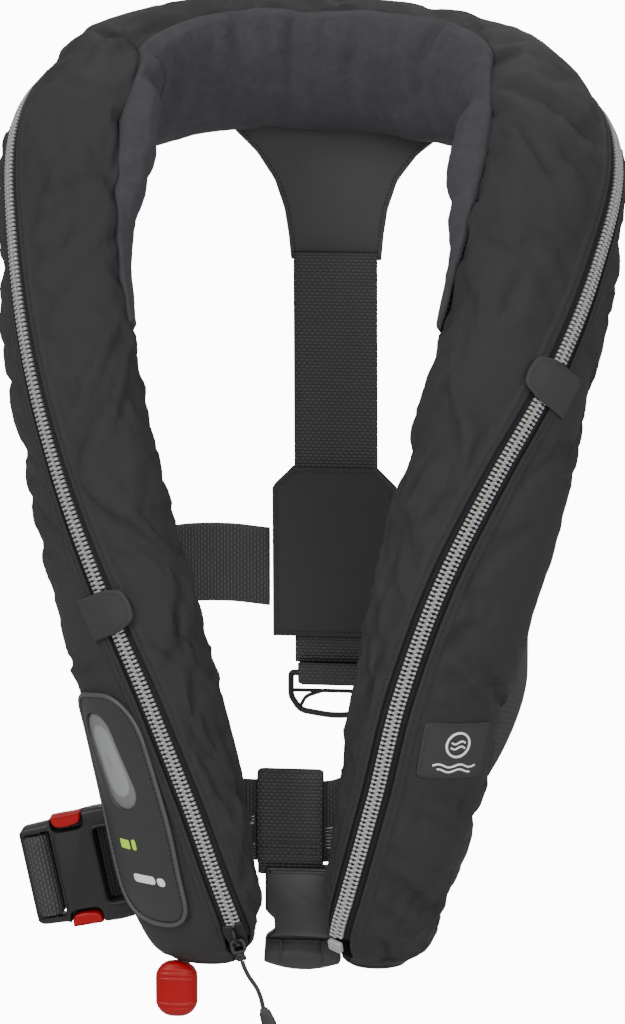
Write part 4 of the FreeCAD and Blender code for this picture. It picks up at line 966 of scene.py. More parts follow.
# ---------------------------------------------------------------- the zip
def zip_line(first, last, count=3000):
    """Points and outward normals along the zip's centre."""
    t = np.linspace(first, last, count)
    return on_roll(t, zip_angle(t)), face_normal(t, zip_angle(t))


def tooth():
    """One moulded tooth: a foot clamped on the tape, a narrow neck and a round head past the centre."""
    half = [(4.3, 0.45), (4.15, 0.85), (2.8, 0.92), (2.5, 0.4), (1.8, 0.36), (1.5, 0.85), (0.75, 1.05),
            (0.45, 0.62), (-0.45, 0.55), (-0.75, 0.2)]
    outline = [(x, y) for x, y in half] + [(x, -y) for x, y in reversed(half)]
    base = []
    for size, z in ((1.0, -0.6), (1.0, 1.25), (0.86, 1.75)):
        for x, y in outline:
            base.append((1.6 + (x - 1.6) * (1 if size == 1 else 0.93), y * size, z - 0.12 * max(0, x - 2.4)))
    return base, ring_faces(3, len(outline))


TOOTH_PITCH = 2.75
# Distance from the zip's centre and lift (mm) across the tape.
TAPE_PROFILE = [(2.6, -0.2), (3.2, 0.15), (3.8, 0.15), (4.4, -0.35), (5.2, -0.5), (6.0, -0.5), (6.8, -0.5),
                (7.6, -0.6), (8.6, -1.1), (9.8, -1.3)]
# Rows of stitches beside the zip: name, distance, lift, pitch, half length and thickness (mm).
ZIP_SEAMS = [("tape", 6.2, -0.5, 2.2, 0.75, 0.26), ("edge", ZIP_HALF_GAP + 3.0, 0.72, 3.1, 1.1, 0.36)]


def zipper():
    points, normals = zip_line(ZIP_START, ZIP_END)
    base, faces = tooth()
    for name, side, offset, node in (("zip_teeth_row_inner", 1, 0.0, "zip_teeth_inner"),
                                     ("zip_teeth_row_outer", -1, 0.5, "zip_teeth_outer")):
        spot, way, out = resampled(points, normals, TOOTH_PITCH)
        half_step = np.roll(spot, -1, 0) - spot
        half_step[-1] = way[-1] * TOOTH_PITCH * MM
        spot = spot + half_step * offset
        keep = slice(0, len(spot) - 1)
        across = np.cross(out, way) * side
        obj = scatter(name, base, faces, spot[keep], across[keep], way[keep], out[keep], "zip_metal")
        place(obj, "jacket", "zip_metal", node)
    for name, side, node in (("zip_tape_band_inner", 1, "zip_tape_inner"),
                             ("zip_tape_band_outer", -1, "zip_tape_outer")):
        rows = stops(ZIP_START, ZIP_END, 3.0)[:, None]
        near, lift = np.array(TAPE_PROFILE).T[:, None, :]
        angles = turned(rows, zip_angle(rows), side * near)
        tape = on_roll(rows, angles) + face_normal(rows, angles) * (lift[..., None] - 0.2) * MM
        flat = np.stack(np.broadcast_arrays(along_mm(rows) * MM, near * MM), -1)
        if side < 0:
            tape, flat = tape[:, ::-1], flat[:, ::-1]
        place(surface(name, tape, "zip_tape", flat, thick=0.7), "jacket", "zip_tape", node)
        line_t = stops(ZIP_START, ZIP_END, 2.0)
        for label, distance, lift_mm, pitch, long_half, thick in ZIP_SEAMS:
            angle = turned(line_t, zip_angle(line_t), side * distance)
            line = on_cover(line_t, angle, lift_mm)
            stitches("%s_%s_stitches" % (name, label), line, face_normal(line_t, angle), "jacket",
                     "cover_nylon",
                     pitch, long_half, thick)


def zip_frame(t, lift):
    here = on_roll(t, zip_angle(t), lift)
    near = on_roll(t - 0.1, zip_angle(t - 0.1), lift)
    far = on_roll(t + 0.1, zip_angle(t + 0.1), lift)
    up = unit(near - far if t > 13 else far - near)
    out = face_normal(t, zip_angle(t))
    return frame_at(here, np.cross(up, out), out)


def box_outline(x0, x1, y0, y1, radius, steps=5):
    return rounded([(x0, y0), (x1, y0), (x1, y1), (x0, y1)], radius, steps)


def zip_hardware():
    start = zip_frame(ZIP_START - 0.22, -0.2)
    box = prism("end_box_body", box_outline(-4.6, 4.6, -3.4, 3.4, 1.0), 0, 3.4, start, "grey_plastic", 0.5)
    ribs = [prism("end_box_rib_%d" % k, box_outline(-3.8, 3.8, y, y + 0.8, 0.3, 3), 3.2, 3.8, start,
                  "grey_plastic",
                  0.2) for k, y in enumerate((-2.6, -0.9, 0.8))]
    place(merged("zip_box", [box] + ribs), "jacket", "grey_plastic", "zip_end_box")
    end = zip_frame(ZIP_END + 0.1, -0.4)
    stop = prism("zip_foot", box_outline(-4.2, 4.2, -1.5, 1.5, 0.8), 0, 2.6, end, "dark_metal", 0.4)
    place(stop, "jacket", "dark_metal", "zip_bottom_stop")


SLIDER_AT = 24.56


def slider_frame():
    here = on_roll(SLIDER_AT, zip_angle(SLIDER_AT), 0.6)
    above = on_roll(SLIDER_AT - 0.72, zip_angle(SLIDER_AT - 0.72), 0.6)
    out = face_normal(SLIDER_AT - 0.3, zip_angle(SLIDER_AT - 0.3))
    up = unit(above - here)
    return frame_at(here, np.cross(up, out), out)


def bail_frame():
    """The pull's pivot, from the joint: x along the pin, y up the bail, z to the front."""
    joint = [j for j in frame["joints"] if j["name"] == "pull_swing"][0]
    down = unit(np.array([0.30, -0.12, -0.95]))
    across = unit(np.array(joint["axis"]))
    return frame_at(np.array(joint["pos_m"]), across, np.cross(down, across))


def slider():
    matrix = slider_frame()
    top = rounded([(-6.6, 7.5), (-6.6, 1.5), (-4.6, -7.5), (4.6, -7.5), (6.6, 1.5), (6.6, 7.5), (2.4, 7.5),
                   (0, 5.2), (-2.4, 7.5)], [1.6, 2.5, 1.6, 1.6, 2.5, 1.6, 1.0, 1.4, 1.0])
    plate = prism("slider_plate", top, 3.0, 4.7, matrix, "dark_metal", 0.5)
    rims = []
    for k, s in enumerate((-1, 1)):
        side = rounded([(s * 6.6, 7.3), (s * 5.3, 7.3), (s * 5.3, 0.5), (s * 3.6, -7.3), (s * 4.8, -7.3),
                        (s * 6.6, 0.5)], 0.3, 2)
        rims.append(prism("slider_rim_%d" % k, side, 1.6, 3.3, matrix, "dark_metal", 0.3))
    arch = [(0, -5.2 + 9.8 * f, 4.4 + 4.0 * math.sin(math.pi * f) ** 0.55) for f in np.arange(13) / 12]
    bridge = bar("slider_bridge", to_frame(matrix, arch), 1.25, "dark_metal")
    place(merged("zip_slider", [plate, bridge] + rims), "slider", "dark_metal", "slider_body")


def bar(name, points, radius, material, sides=10, flatten=1.0, closed=False):
    """A round bar (radius in mm, a number or one for each point) along points in metres."""
    points = np.asarray(points, float)
    count = len(points)
    ahead = np.roll(points, -1, 0) if closed else np.vstack([points[1:], 2 * points[-1] - points[-2]])
    behind = np.roll(points, 1, 0) if closed else np.vstack([2 * points[0] - points[1], points[:-1]])
    way = unit(ahead - behind)
    side = np.cross(way[0], (0, 0, 1) if abs(way[0][2]) < 0.9 else (1, 0, 0))
    rings = []
    radii = np.broadcast_to(radius, (count,))
    for k in range(count):
        side = unit(side - way[k] * np.dot(way[k], side))
        up = np.cross(way[k], side)
        turn = np.linspace(0, 2 * math.pi, sides, endpoint=False)[:, None]
        rings.append(points[k] + (side * np.cos(turn) + up * np.sin(turn) * flatten) * radii[k] * MM)
    if closed:
        faces = [(i * sides + j, i * sides + (j + 1) % sides, (i + 1) % count * sides + (j + 1) % sides,
                  (i + 1) % count * sides + j) for i in range(count) for j in range(sides)]
    else:
        faces = ring_faces(count, sides)
    obj = dress(new_object(name, new_mesh(name, np.array(rings), faces)), material)
    faced_out(obj)
    return obj


# The pull cord's route (m), from the knot to the tip.
CORD_POINTS = [(-0.02605, -0.14754, -0.47002), (-0.0241, -0.14836, -0.47669), (-0.01509, -0.14909, -0.48803),
               (-0.0135, -0.14909, -0.4979)]
CORD_DIAMETER = 0.0027


def pull():
    matrix = bail_frame()
    loop = []
    for x, y in rounded([(-3.8, 0), (-3.8, -7.0), (3.8, -7.0), (3.8, 0)], 2.2, 5):
        loop.append((x, y, 0))
    bail = bar("pull_bail_loop", to_frame(matrix, loop), 1.0, "pull_rubber", closed=True)
    knot = []
    for k in range(40):
        turn = 2 * math.pi * k / 40
        knot.append((1.7 * math.sin(2 * turn) + 0.5 * math.sin(3 * turn),
                     -9.8 + 1.9 * math.cos(3 * turn) * 0.8,
                     1.6 * math.cos(2 * turn)))
    coil = bar("pull_knot", to_frame(matrix, knot), 1.15, "cord", 8, closed=True)
    place(merged("zip_bail", [bail, coil]), "pull", "pull_rubber", "pull_bail")
    curve = bpy.data.curves.new("pull_string", "CURVE")
    curve.dimensions = "3D"
    spline = curve.splines.new("NURBS")
    spline.points.add(len(CORD_POINTS) - 1)
    for point, where in zip(spline.points, CORD_POINTS):
        point.co = (*where, 1)
    spline.order_u = 3
    spline.use_endpoint_u = True
    spline.resolution_u = 12
    curve.bevel_depth = CORD_DIAMETER / 2
    curve.bevel_resolution = 4
    curve.use_fill_caps = True
    curve.materials.append(MATERIALS["cord"])
    string = new_object("pull_string", curve)
    place(string, "pull", "cord", "pull_cord")
    tip_frame = frame_at(np.array(CORD_POINTS[-1]), (1, 0, 0), (0.34, 0.0, -0.94))
    rings = []
    profile = ((0.0, 1.9), (0.3, 2.4), (1.6, 2.5), (2.0, 3.1), (2.6, 3.4), (5.0, 3.7), (9.0, 4.2),
               (13.0, 4.3), (15.6, 4.1), (16.6, 3.5), (17.0, 2.4))
    for z, radius in profile:
        turn = np.linspace(0, 2 * math.pi, 24, endpoint=False)
        squared = 1 / (np.abs(np.cos(turn)) ** 4 + np.abs(np.sin(turn)) ** 4) ** 0.25
        rings.append(np.stack([radius * squared * np.cos(turn), 0.62 * radius * squared * np.sin(turn),
                               np.full(24, z)], -1))
    points = np.concatenate(rings)
    tip = dress(new_object("pull_end", new_mesh("pull_end", to_frame(tip_frame, points),
                                                ring_faces(len(profile), 24))), "pull_rubber")
    place(tip, "pull", "pull_rubber", "pull_tip")


# ---------------------------------------------------------------- things sewn on the cover
def cover_tree():
    t = stops(0, LAST, 3.0)[:, None]
    degrees = np.arange(0, 360, 4.0)[None, :]
    points = on_cover(t, degrees)
    return BVHTree.FromPolygons(points.reshape(-1, 3).tolist(), grid_faces(len(t), degrees.shape[1], True))


COVER = cover_tree()


def draped(matrix, flat, lift):
    """Flat points (mm) of a frame laid on the cover along the frame's z, and lifted (mm) off it."""
    flat = np.asarray(flat, float)
    lift = np.broadcast_to(lift, (len(flat),))
    down = Vector(-matrix[:3, 2])
    found = []
    normals = []
    for (x, y), rise in zip(flat, lift):
        start = Vector(to_frame(matrix, [(x, y, 40)])[0])
        spot, normal = COVER.ray_cast(start, down)[:2]
        if spot is None:
            spot, normal = Vector(to_frame(matrix, [(x, y, 0)])[0]), -down
        if normal.dot(down) > 0:
            normal = -normal
        found.append(spot + normal * rise * MM)
        normals.append(normal)
    return np.array(found), np.array(normals)


def tab_frame(t):
    matrix = zip_frame(t, 0.0)
    across = matrix[:3, 0]
    if np.dot(across, -roll(t)[3]) < 0:
        across = -across
    out = matrix[:3, 2]
    return frame_at(matrix[:3, 3] - across * 19 * MM + out * 2.9 * MM, across, out)


TAB_OUTLINE = rounded([(0, -13), (24, -13), (35, -9.5), (36.5, 0), (35, 9.5), (24, 13), (0, 13)],
                      [1, 10, 6, 8, 6, 10, 1], 7)


def tab_bend(points):
    points = points.copy()
    points[:, 2] -= (points[:, 0] - 19) ** 2 / 118.0
    return points


def burst_tab(name, t, body, node):
    matrix = tab_frame(t)
    obj = pillow(name, TAB_OUTLINE, 0.0, 1.7, 0.35, matrix, "patch_cloth", tab_bend, 12, 0.6)
    place(obj, body, "cover_nylon", node)
    line = resized(anticlockwise(TAB_OUTLINE), 2.4)
    flat = np.column_stack([line, np.full(len(line), 1.85)])
    points = to_frame(matrix, tab_bend(flat))
    out = np.tile(matrix[:3, 2], (len(points), 1))
    stitches(name + "_stitches", points, out, body, "cover_nylon", 2.4, 0.8, 0.26)


WINDOW_MID, WINDOW_ANGLE = 22.6, 62.0
PANEL_TOP, PANEL_FOOT, PANEL_CENTRE = 21.92, 24.5, 70.0


def window_frame():
    out = face_normal(WINDOW_MID, WINDOW_ANGLE)
    top = on_roll(22.1, 52.0)
    foot = on_roll(23.1, 72.0)
    up = unit(top - foot)
    return frame_at((top + foot) * 0.5, np.cross(up, out), out)


def panel_centre(t):
    return PANEL_CENTRE + (t - 23.2) * 5.0


def panel_outline(inset):
    """The window panel's outline in the window frame, in mm."""
    matrix = window_frame()
    t = np.concatenate([[PANEL_TOP + 0.015], np.linspace(21.97, 22.3, 8), np.linspace(22.4, 24.05, 26),
                        np.linspace(24.12, PANEL_FOOT - 0.02, 9)])
    along = (t - PANEL_TOP) / (PANEL_FOOT - PANEL_TOP)
    ends = np.minimum(along, 1 - along) / 0.17
    rounding = np.sqrt(np.maximum(0, 1 - (1 - np.minimum(ends, 1)) ** 2))
    half = 7.0 + 24.0 * rounding - 4.5 * np.maximum(0, (along - 0.55) / 0.45) - inset
    right = on_roll(t, turned(t, panel_centre(t), half))
    left = on_roll(t, turned(t, panel_centre(t), -half))
    loop = np.concatenate([right, left[::-1]])
    local = (loop - matrix[:3, 3]) @ matrix[:3, :3] / MM
    return evenly(local[:, :2], 96)


def evenly(outline, count):
    """The same closed outline with evenly spaced, slightly smoothed points."""
    loop = looped(outline)
    run = run_of(loop)
    goals = np.linspace(0, run[-1], count, endpoint=False)
    even = np.stack([np.interp(goals, run, loop[:, 0]), np.interp(goals, run, loop[:, 1])], -1)
    for _ in range(3):
        even = 0.5 * even + 0.25 * np.roll(even, 1, 0) + 0.25 * np.roll(even, -1, 0)
    return anticlockwise(even)


def slot_outline(inset, count=96):
    half = 13.5 - inset
    run = 17.5
    turn = np.linspace(0, math.pi, 24)
    upper = np.stack([half * np.cos(turn), run + half * np.sin(turn)], -1)
    return evenly(np.vstack([upper, -upper]), count)


def aligned(inner, outer):
    """The outer outline turned so that its points face the inner one's."""
    shifts = [np.linalg.norm(np.roll(outer, -k, 0) - inner, axis=1).sum() for k in range(len(outer))]
    return np.roll(outer, -int(np.argmin(shifts)), 0)


def window():
    matrix = window_frame()
    inner = slot_outline(0.0)
    outer = aligned(inner, panel_outline(0.0))
    rows = [(inner + (inner - inner.mean(0)) * 0.001, -1.6), (inner, 0.6),
            (inner * 0.985 + outer * 0.015, 1.35),
            (inner * 0.96 + outer * 0.04, 1.6)]
    for f in np.linspace(0.1, 0.96, 16):
        rows.append((inner * (1 - f) + outer * f, 1.6))
    rows += [(inner * 0.015 + outer * 0.985, 1.3), (outer, 0.7), (outer, -0.6)]
    grid = np.array([draped(matrix, flat, lift)[0] for flat, lift in rows])
    flats = np.array([flat * MM for flat, lift in rows])
    obj = surface("window_plate", grid[::-1], "window_panel", flats[::-1], closed=True)
    place(obj, "jacket", "window_panel", "window_panel")
    rim = draped(matrix, panel_outline(0.6), 1.7)[0]
    place(bar("window_rim", rim, 1.35, "piping", 12, closed=True), "jacket", "piping", "window_piping")
    for label, inset, lift in (("inner", 3.4, 1.75), ("outer", -3.6, 0.15)):
        line, out = draped(matrix, panel_outline(inset), lift)
        stitches("window_stitches_" + label, looped(line), looped(out), "jacket", "window_panel", 3.0, 1.0,
                 0.3)
    outline = slot_outline(0.15, 72)
    shares = (1.0, 0.94, 0.8, 0.6, 0.4, 0.2, 0.002)
    film = np.array([draped(matrix, outline * f, -0.4 + 0.9 * (1 - f * f))[0] for f in shares])
    film_flat = np.array([outline * f * MM for f in shares])
    lens = surface("window_film", film, "clear", film_flat, thick=0.5, closed=True)
    place(lens, "jacket", "clear", "window_lens")
    window_inside(matrix)
    for name, outline, material, x, y in (
            ("window_mark_box", box_outline(-4.4, 4.4, -2.9, 2.9, 1.0), "lime_print", -9.0, 0.0),
            ("window_mark_drop", box_outline(-1.7, 1.7, -3.4, 3.4, 1.6), "lime_print", -0.5, 0.6),
            ("window_mark_band", box_outline(-9.0, 9.0, -2.6, 2.6, 2.5), "white_print", 1.0, -21.0),
            ("window_mark_disc", box_outline(-2.9, 2.9, -2.6, 2.6, 2.5), "white_print", 14.5, -21.5)):
        mark(name, outline + np.array([x, y]), material)


ROUND_TURNS = [2 * math.pi * k / 28 for k in range(28)]


def oval(x, y, wide, high, narrowing=0.0):
    """An oval about x, y (mm); the narrowing makes its top slimmer than its foot."""
    return np.array([(x + wide * math.cos(a) * (1 - narrowing * math.sin(a)), y + high * math.sin(a))
                     for a in ROUND_TURNS])


def window_inside(matrix):
    """What the window shows: the inflator's white face, its sensor capsule and its indicator's blister."""
    # Each piece: name, outline, its stacked shares of the outline with their depths (mm), material, slot.
    for name, outline, profile, material, slot in (
            ("window_tray", slot_outline(-1.2, 72),
             ((1.0, -1.7), (0.97, -8.0), (0.88, -12.5), (0.5, -13.5), (0.002, -13.5)),
             "white_plastic", "white_plastic"),
            ("window_capsule", oval(1.5, 8.0, 8.6, 10.0),
             ((1.0, -13.5), (1.0, -8.0), (0.96, -6.6), (0.86, -5.8), (0.82, -6.3), (0.4, -5.6),
              (0.002, -5.4)),
             "beige_plastic", "grey_plastic"),
            ("window_block", box_outline(-6.5, 9.0, -27.0, -4.5, 3.0),
             ((1.0, -13.5), (1.0, -9.0), (0.93, -8.0), (0.002, -8.0)), "white_plastic", "white_plastic"),
            ("window_blister", oval(2.0, -17.0, 6.0, 7.6, 0.35),
             ((1.0, -8.2), (1.0, -5.4), (0.9, -4.4), (0.5, -3.6), (0.002, -3.4)), "clear", "clear"),
            ("window_plunger", oval(2.0, -18.0, 2.6, 3.2),
             ((1.0, -8.0), (1.0, -6.0), (0.7, -5.4), (0.002, -5.3)), "lime_print", "white_plastic")):
        middle = outline.mean(0)
        grid = np.array([draped(matrix, middle + (outline - middle) * f, depth)[0] for f, depth in profile])
        place(surface(name, grid[::-1], material, None, closed=True), "jacket", slot)


MARK_AT = 23.44


def mark(name, outline, material, lift=1.62, thick=0.2):
    """A thin printed shape on the window panel: x towards the zip, y up, in mm from near its foot."""
    middle = outline.mean(0)
    rows = [(outline, lift), (outline, lift + thick)]
    for f in (0.96, 0.7, 0.4, 0.002):
        rows.append((middle + (outline - middle) * f, lift + thick))
    grid = []
    for flat, rise in rows:
        t = np.interp(along_mm(MARK_AT) - flat[:, 1], LENGTH, LENGTH_T)
        grid.append(on_cover(t, turned(t, panel_centre(t), flat[:, 0]), rise))
    grid = np.array(grid)
    obj = surface(name, grid, material, None, closed=True)
    faced_out(obj)
    return place(obj, "jacket", "window_panel")


# The emblem's wavy lines: height, half length and wave stretch (mm).
WAVES = [(2.2, 4.6, 1.4), (5.4, 4.4, 1.4), (-9.0, 14.0, 2.2), (-12.0, 11.0, 2.2)]
# Place along the roll and angle round it.
EMBLEM_AT = (3.6, 72.0)


def emblem():
    out = face_normal(*EMBLEM_AT)
    up = roll(EMBLEM_AT[0])[1]
    matrix = frame_at(on_roll(*EMBLEM_AT, 1.7), np.cross(up, out), out)
    outline = evenly(box_outline(-22.5, 22.5, -17, 17, 2.0, 5), 88)
    rows = [(outline, -0.2), (outline, 0.9)]
    for f in (0.985, 0.95, 0.85, 0.7, 0.5, 0.3, 0.1, 0.01):
        rows.append((outline * f, 1.25))
    grid = np.array([draped(matrix, flat, lift)[0] for flat, lift in rows])
    obj = surface("emblem_cloth", grid[::-1], "patch_cloth",
                  np.array([flat * MM for flat, lift in rows])[::-1],
                  closed=True)
    place(obj, "jacket", "window_panel", "emblem_patch")
    line, normals = draped(matrix, outline * 0.92, 1.3)
    stitches("emblem_stitches", looped(line), looped(normals), "jacket", "window_panel", 2.4, 0.8, 0.26)
    ring = np.array([(math.cos(a), math.sin(a)) for a in ROUND_TURNS])
    loop = draped(matrix, ring * 7.4 + np.array([0, 4.0]), 1.5)[0]
    place(bar("emblem_ring", loop, 0.75, "white_print", 8, closed=True), "jacket", "window_panel")
    for k, (y, half, stretch) in enumerate(WAVES):
        x = np.linspace(-half, half, 40)
        flat = np.stack([x, y + 0.9 * np.sin(x / stretch)], -1)
        line = draped(matrix, flat, 1.5)[0]
        place(bar("emblem_wave_%d" % k, line, 0.6, "white_print", 8), "jacket", "window_panel")


# ---------------------------------------------------------------- back pieces and belts
BACK_X, BACK_TILT = 3.5, 2.4
BELT_WIDTH = 50.0


def back_frame(x, y, z, tilt=BACK_TILT):
    turn = Matrix.Rotation(math.radians(tilt), 4, "X") @ Matrix.Rotation(math.radians(90), 4, "X")
    matrix = np.array(turn)
    matrix[:3, 3] = (x * MM, y * MM, z * MM)
    return matrix


def sewn_sheet(name, outline, low, high, dome, matrix, node, material="patch_cloth", slot="webbing"):
    obj = pillow(name, outline, low, high, dome, matrix, material, None, 12, 0.7)
    place(obj, "jacket", slot, node)
    line = resized(anticlockwise(outline), 3.0)
    points = to_frame(matrix, np.column_stack([line, np.full(len(line), high + dome * 0.3)]))
    out = np.tile(matrix[:3, 2], (len(points), 1))
    stitches(name + "_stitches", looped(points), looped(out), "jacket", slot, 3.0)


PATCH = [(-38.5, -54.5), (23.5, -54.5), (23.5, -52.5), (38.5, -42.5), (38.5, 41.5), (25.5, 54.5),
         (-25.5, 54.5), (-38.5, 41.5)]


def back_pieces():
    arc = [(28, 0), (29.5, 16), (32, 32), (38, 50), (50, 66), (66, 79), (70, 86), (-68, 86), (-62, 80),
           (-49, 67), (-38, 50), (-32, 32), (-29.5, 16), (-28, 0)]
    yoke = rounded(arc, [1, 20, 20, 20, 20, 8, 1, 1, 8, 20, 20, 20, 20, 1], 4)
    # The yoke's cloth is a lightened copy of the patch cloth: painted light against the shade on it.
    sewn_sheet("yoke_cloth", yoke, 0.2, 2.2, 0.5, back_frame(BACK_X, 107.6, -94.0), "back_yoke",
               "yoke_cloth", "cover_nylon")
    patch = rounded(PATCH, [1, 1, 1, 2, 3, 3, 3, 3], 4)
    sewn_sheet("patch_rear", patch, 0.0, 1.6, 0.4, back_frame(BACK_X - 1.0, 112.6, -278.5),
               "back_patch_outer")
    sewn_sheet("patch_front", patch, 0.0, 1.5, 0.4, back_frame(BACK_X - 1.0, 105.6, -278.5),
               "back_patch_inner")
    strap = back_frame(BACK_X, 113.0, -350.5)
    route = []
    for y in np.linspace(0, 262.5, 12):
        spot = to_frame(strap, [(0, y, 1.1)])[0] / MM
        route.append((spot, strap[:3, 0], strap[:3, 2]))
    band("strap_web", route, 52.0, "back_strap")
    pivot = np.array((BACK_X, 112.0, -359.0))
    radius = 5.2
    route = [(pivot + (0, radius, 9), (1, 0, 0), (0, 1, 0))]
    for step in range(7):
        turn = math.radians(30 * step)
        out = np.array((0, math.cos(turn), -math.sin(turn)))
        route.append((pivot + out * radius, (1, 0, 0), out))
    route.append((pivot + (0, -radius, 9), (1, 0, 0), (0, -1, 0)))
    band("tail_web", route, 48.0, "strap_tail", 3)
    ring(pivot)


def ring(pivot):
    """The moulded ring: a closed frame with a cross bar and an arch."""
    matrix = back_frame(pivot[0], pivot[1], pivot[2], 0.0)
    frame_line = rounded([(-28.8, 1.4), (-28.8, -13.6), (-22.9, -22.6), (0, -26.2), (22.9, -22.6),
                          (28.8, -13.6), (28.8, 1.4)], [2, 9, 10, 60, 10, 9, 2], 8)
    arch = rounded([(-23.6, -21.6), (-19.5, -13.6), (-9, -9.8), (9, -9.8), (19.5, -13.6), (23.6, -21.6)],
                   [0, 7, 9, 9, 7, 0], 7)
    rim = np.array([(-28.0, -9.8), (28.0, -9.8)])

    def run(name, line, wide, closed):
        spots = to_frame(matrix, np.column_stack([line, np.zeros(len(line))]))
        return bar(name, spots, 2.4, "black_plastic", 14, wide / 2.4, closed)

    parts = [run("ring_frame", frame_line, 1.9, True), run("ring_arch", arch, 1.2, False),
             run("ring_bar", rim, 1.1, False)]
    place(dress(merged("ring_plastic", parts), "black_plastic"), "ring", "black_plastic", "strap_ring")


def stop(x, y, z, nx, ny, lean=0.0):
    return (x, y, z), (lean, 0, 1), (nx, ny, 0)


def keeper_frame(t):
    back = face_normal(t, 270.0)
    return frame_at(on_roll(t, 270.0, 0.8), np.cross((0, 0, 1), back), back)


def keeper_stops(t):
    matrix = keeper_frame(t)
    return [(to_frame(matrix, [(a, 0, 5.2)])[0] / MM, matrix[:3, 1], -matrix[:3, 2]) for a in (-14, 14)]


def keeper(name, t, node):
    """A flat webbing bridge: out of the cover, over the belt and back in."""
    matrix = keeper_frame(t)
    path = [(-34, 1.0), (-31.5, 1.6), (-30.6, 4.5), (-30.4, 7.6), (-28.5, 9.4), (-20, 9.6), (0, 9.6),
            (20, 9.6), (28.5, 9.4), (30.4, 7.6), (30.6, 4.5), (31.5, 1.6), (34, 1.0)]
    route = []
    for k, (y, z) in enumerate(path):
        ahead = np.array(path[min(k + 1, len(path) - 1)]) - np.array(path[max(k - 1, 0)])
        rise = matrix[:3, 1] * -ahead[1] + matrix[:3, 2] * ahead[0]
        route.append((to_frame(matrix, [(0, y, z)])[0] / MM, matrix[:3, 0], rise))
    band(name, route, 22.0, node, 4, thick=1.8)


KEEPER_RIGHT_AT, KEEPER_LEFT_AT = 22.62, 2.72


def belts():
    right = [stop(-38, 108.2, -289, 0, 1), stop(-66, 105, -286, -.16, 1), stop(-95, 91, -285, -.55, .8),
             stop(-117, 64, -288, -.86, .5), stop(-127, 28, -296, -1, .1), stop(-124, -10, -310, -1, -.15),
             stop(-110, -44, -328, -.8, -.6)]
    right += reversed(keeper_stops(KEEPER_RIGHT_AT))
    band("belt_web_right", right, BELT_WIDTH, "belt_right", 10)
    left = [stop(43, 108.2, -289, 0, 1), stop(70, 105, -290, .16, 1), stop(98, 91, -292, .55, .8),
            stop(119, 64, -298, .86, .5), stop(128, 28, -308, 1, .1), stop(126, -10, -326, 1, -.15),
            stop(114, -44, -350, .9, -.45), stop(93, -68, -376, .6, -.8)]
    left += keeper_stops(KEEPER_LEFT_AT)
    left += [stop(29, -89.0, -396, -.2, -1), stop(17, -85.2, -400.5, 0, -1), stop(0, -85.2, -400.5, 0, -1),
             stop(-24, -85.2, -400.5, 0, -1), stop(-44, -85.2, -400, 0, -1)]
    band("belt_web_left", left, BELT_WIDTH, "belt_left", 10)
    keeper("keeper_web_right", KEEPER_RIGHT_AT, "belt_keeper_right")
    keeper("keeper_web_left", KEEPER_LEFT_AT, "belt_keeper_left")
    for name, x0, x1, z0, z1 in (("belt_mark_a", 17.5, 24.5, -417, -402),
                                 ("belt_mark_b", -25.5, -29.5, -424, -414),
                                 ("belt_mark_c", -26.0, -29.0, -403, -397)):
        rows = np.arange(z0, z1, 1.0)
        points = []
        for k, z in enumerate(rows):
            points.append((x0 if k % 2 else x1, -86.9 if x0 < 17 else -87.4, z))
        line = bar(name, np.array(points) * MM, 0.45, "white_thread", 6)
        place(line, "jacket", "webbing")


# ---------------------------------------------------------------- the buckle
LOOP_X = -4.2
TONGUE_TOP = np.array((3.0, -85.2, -427.0))


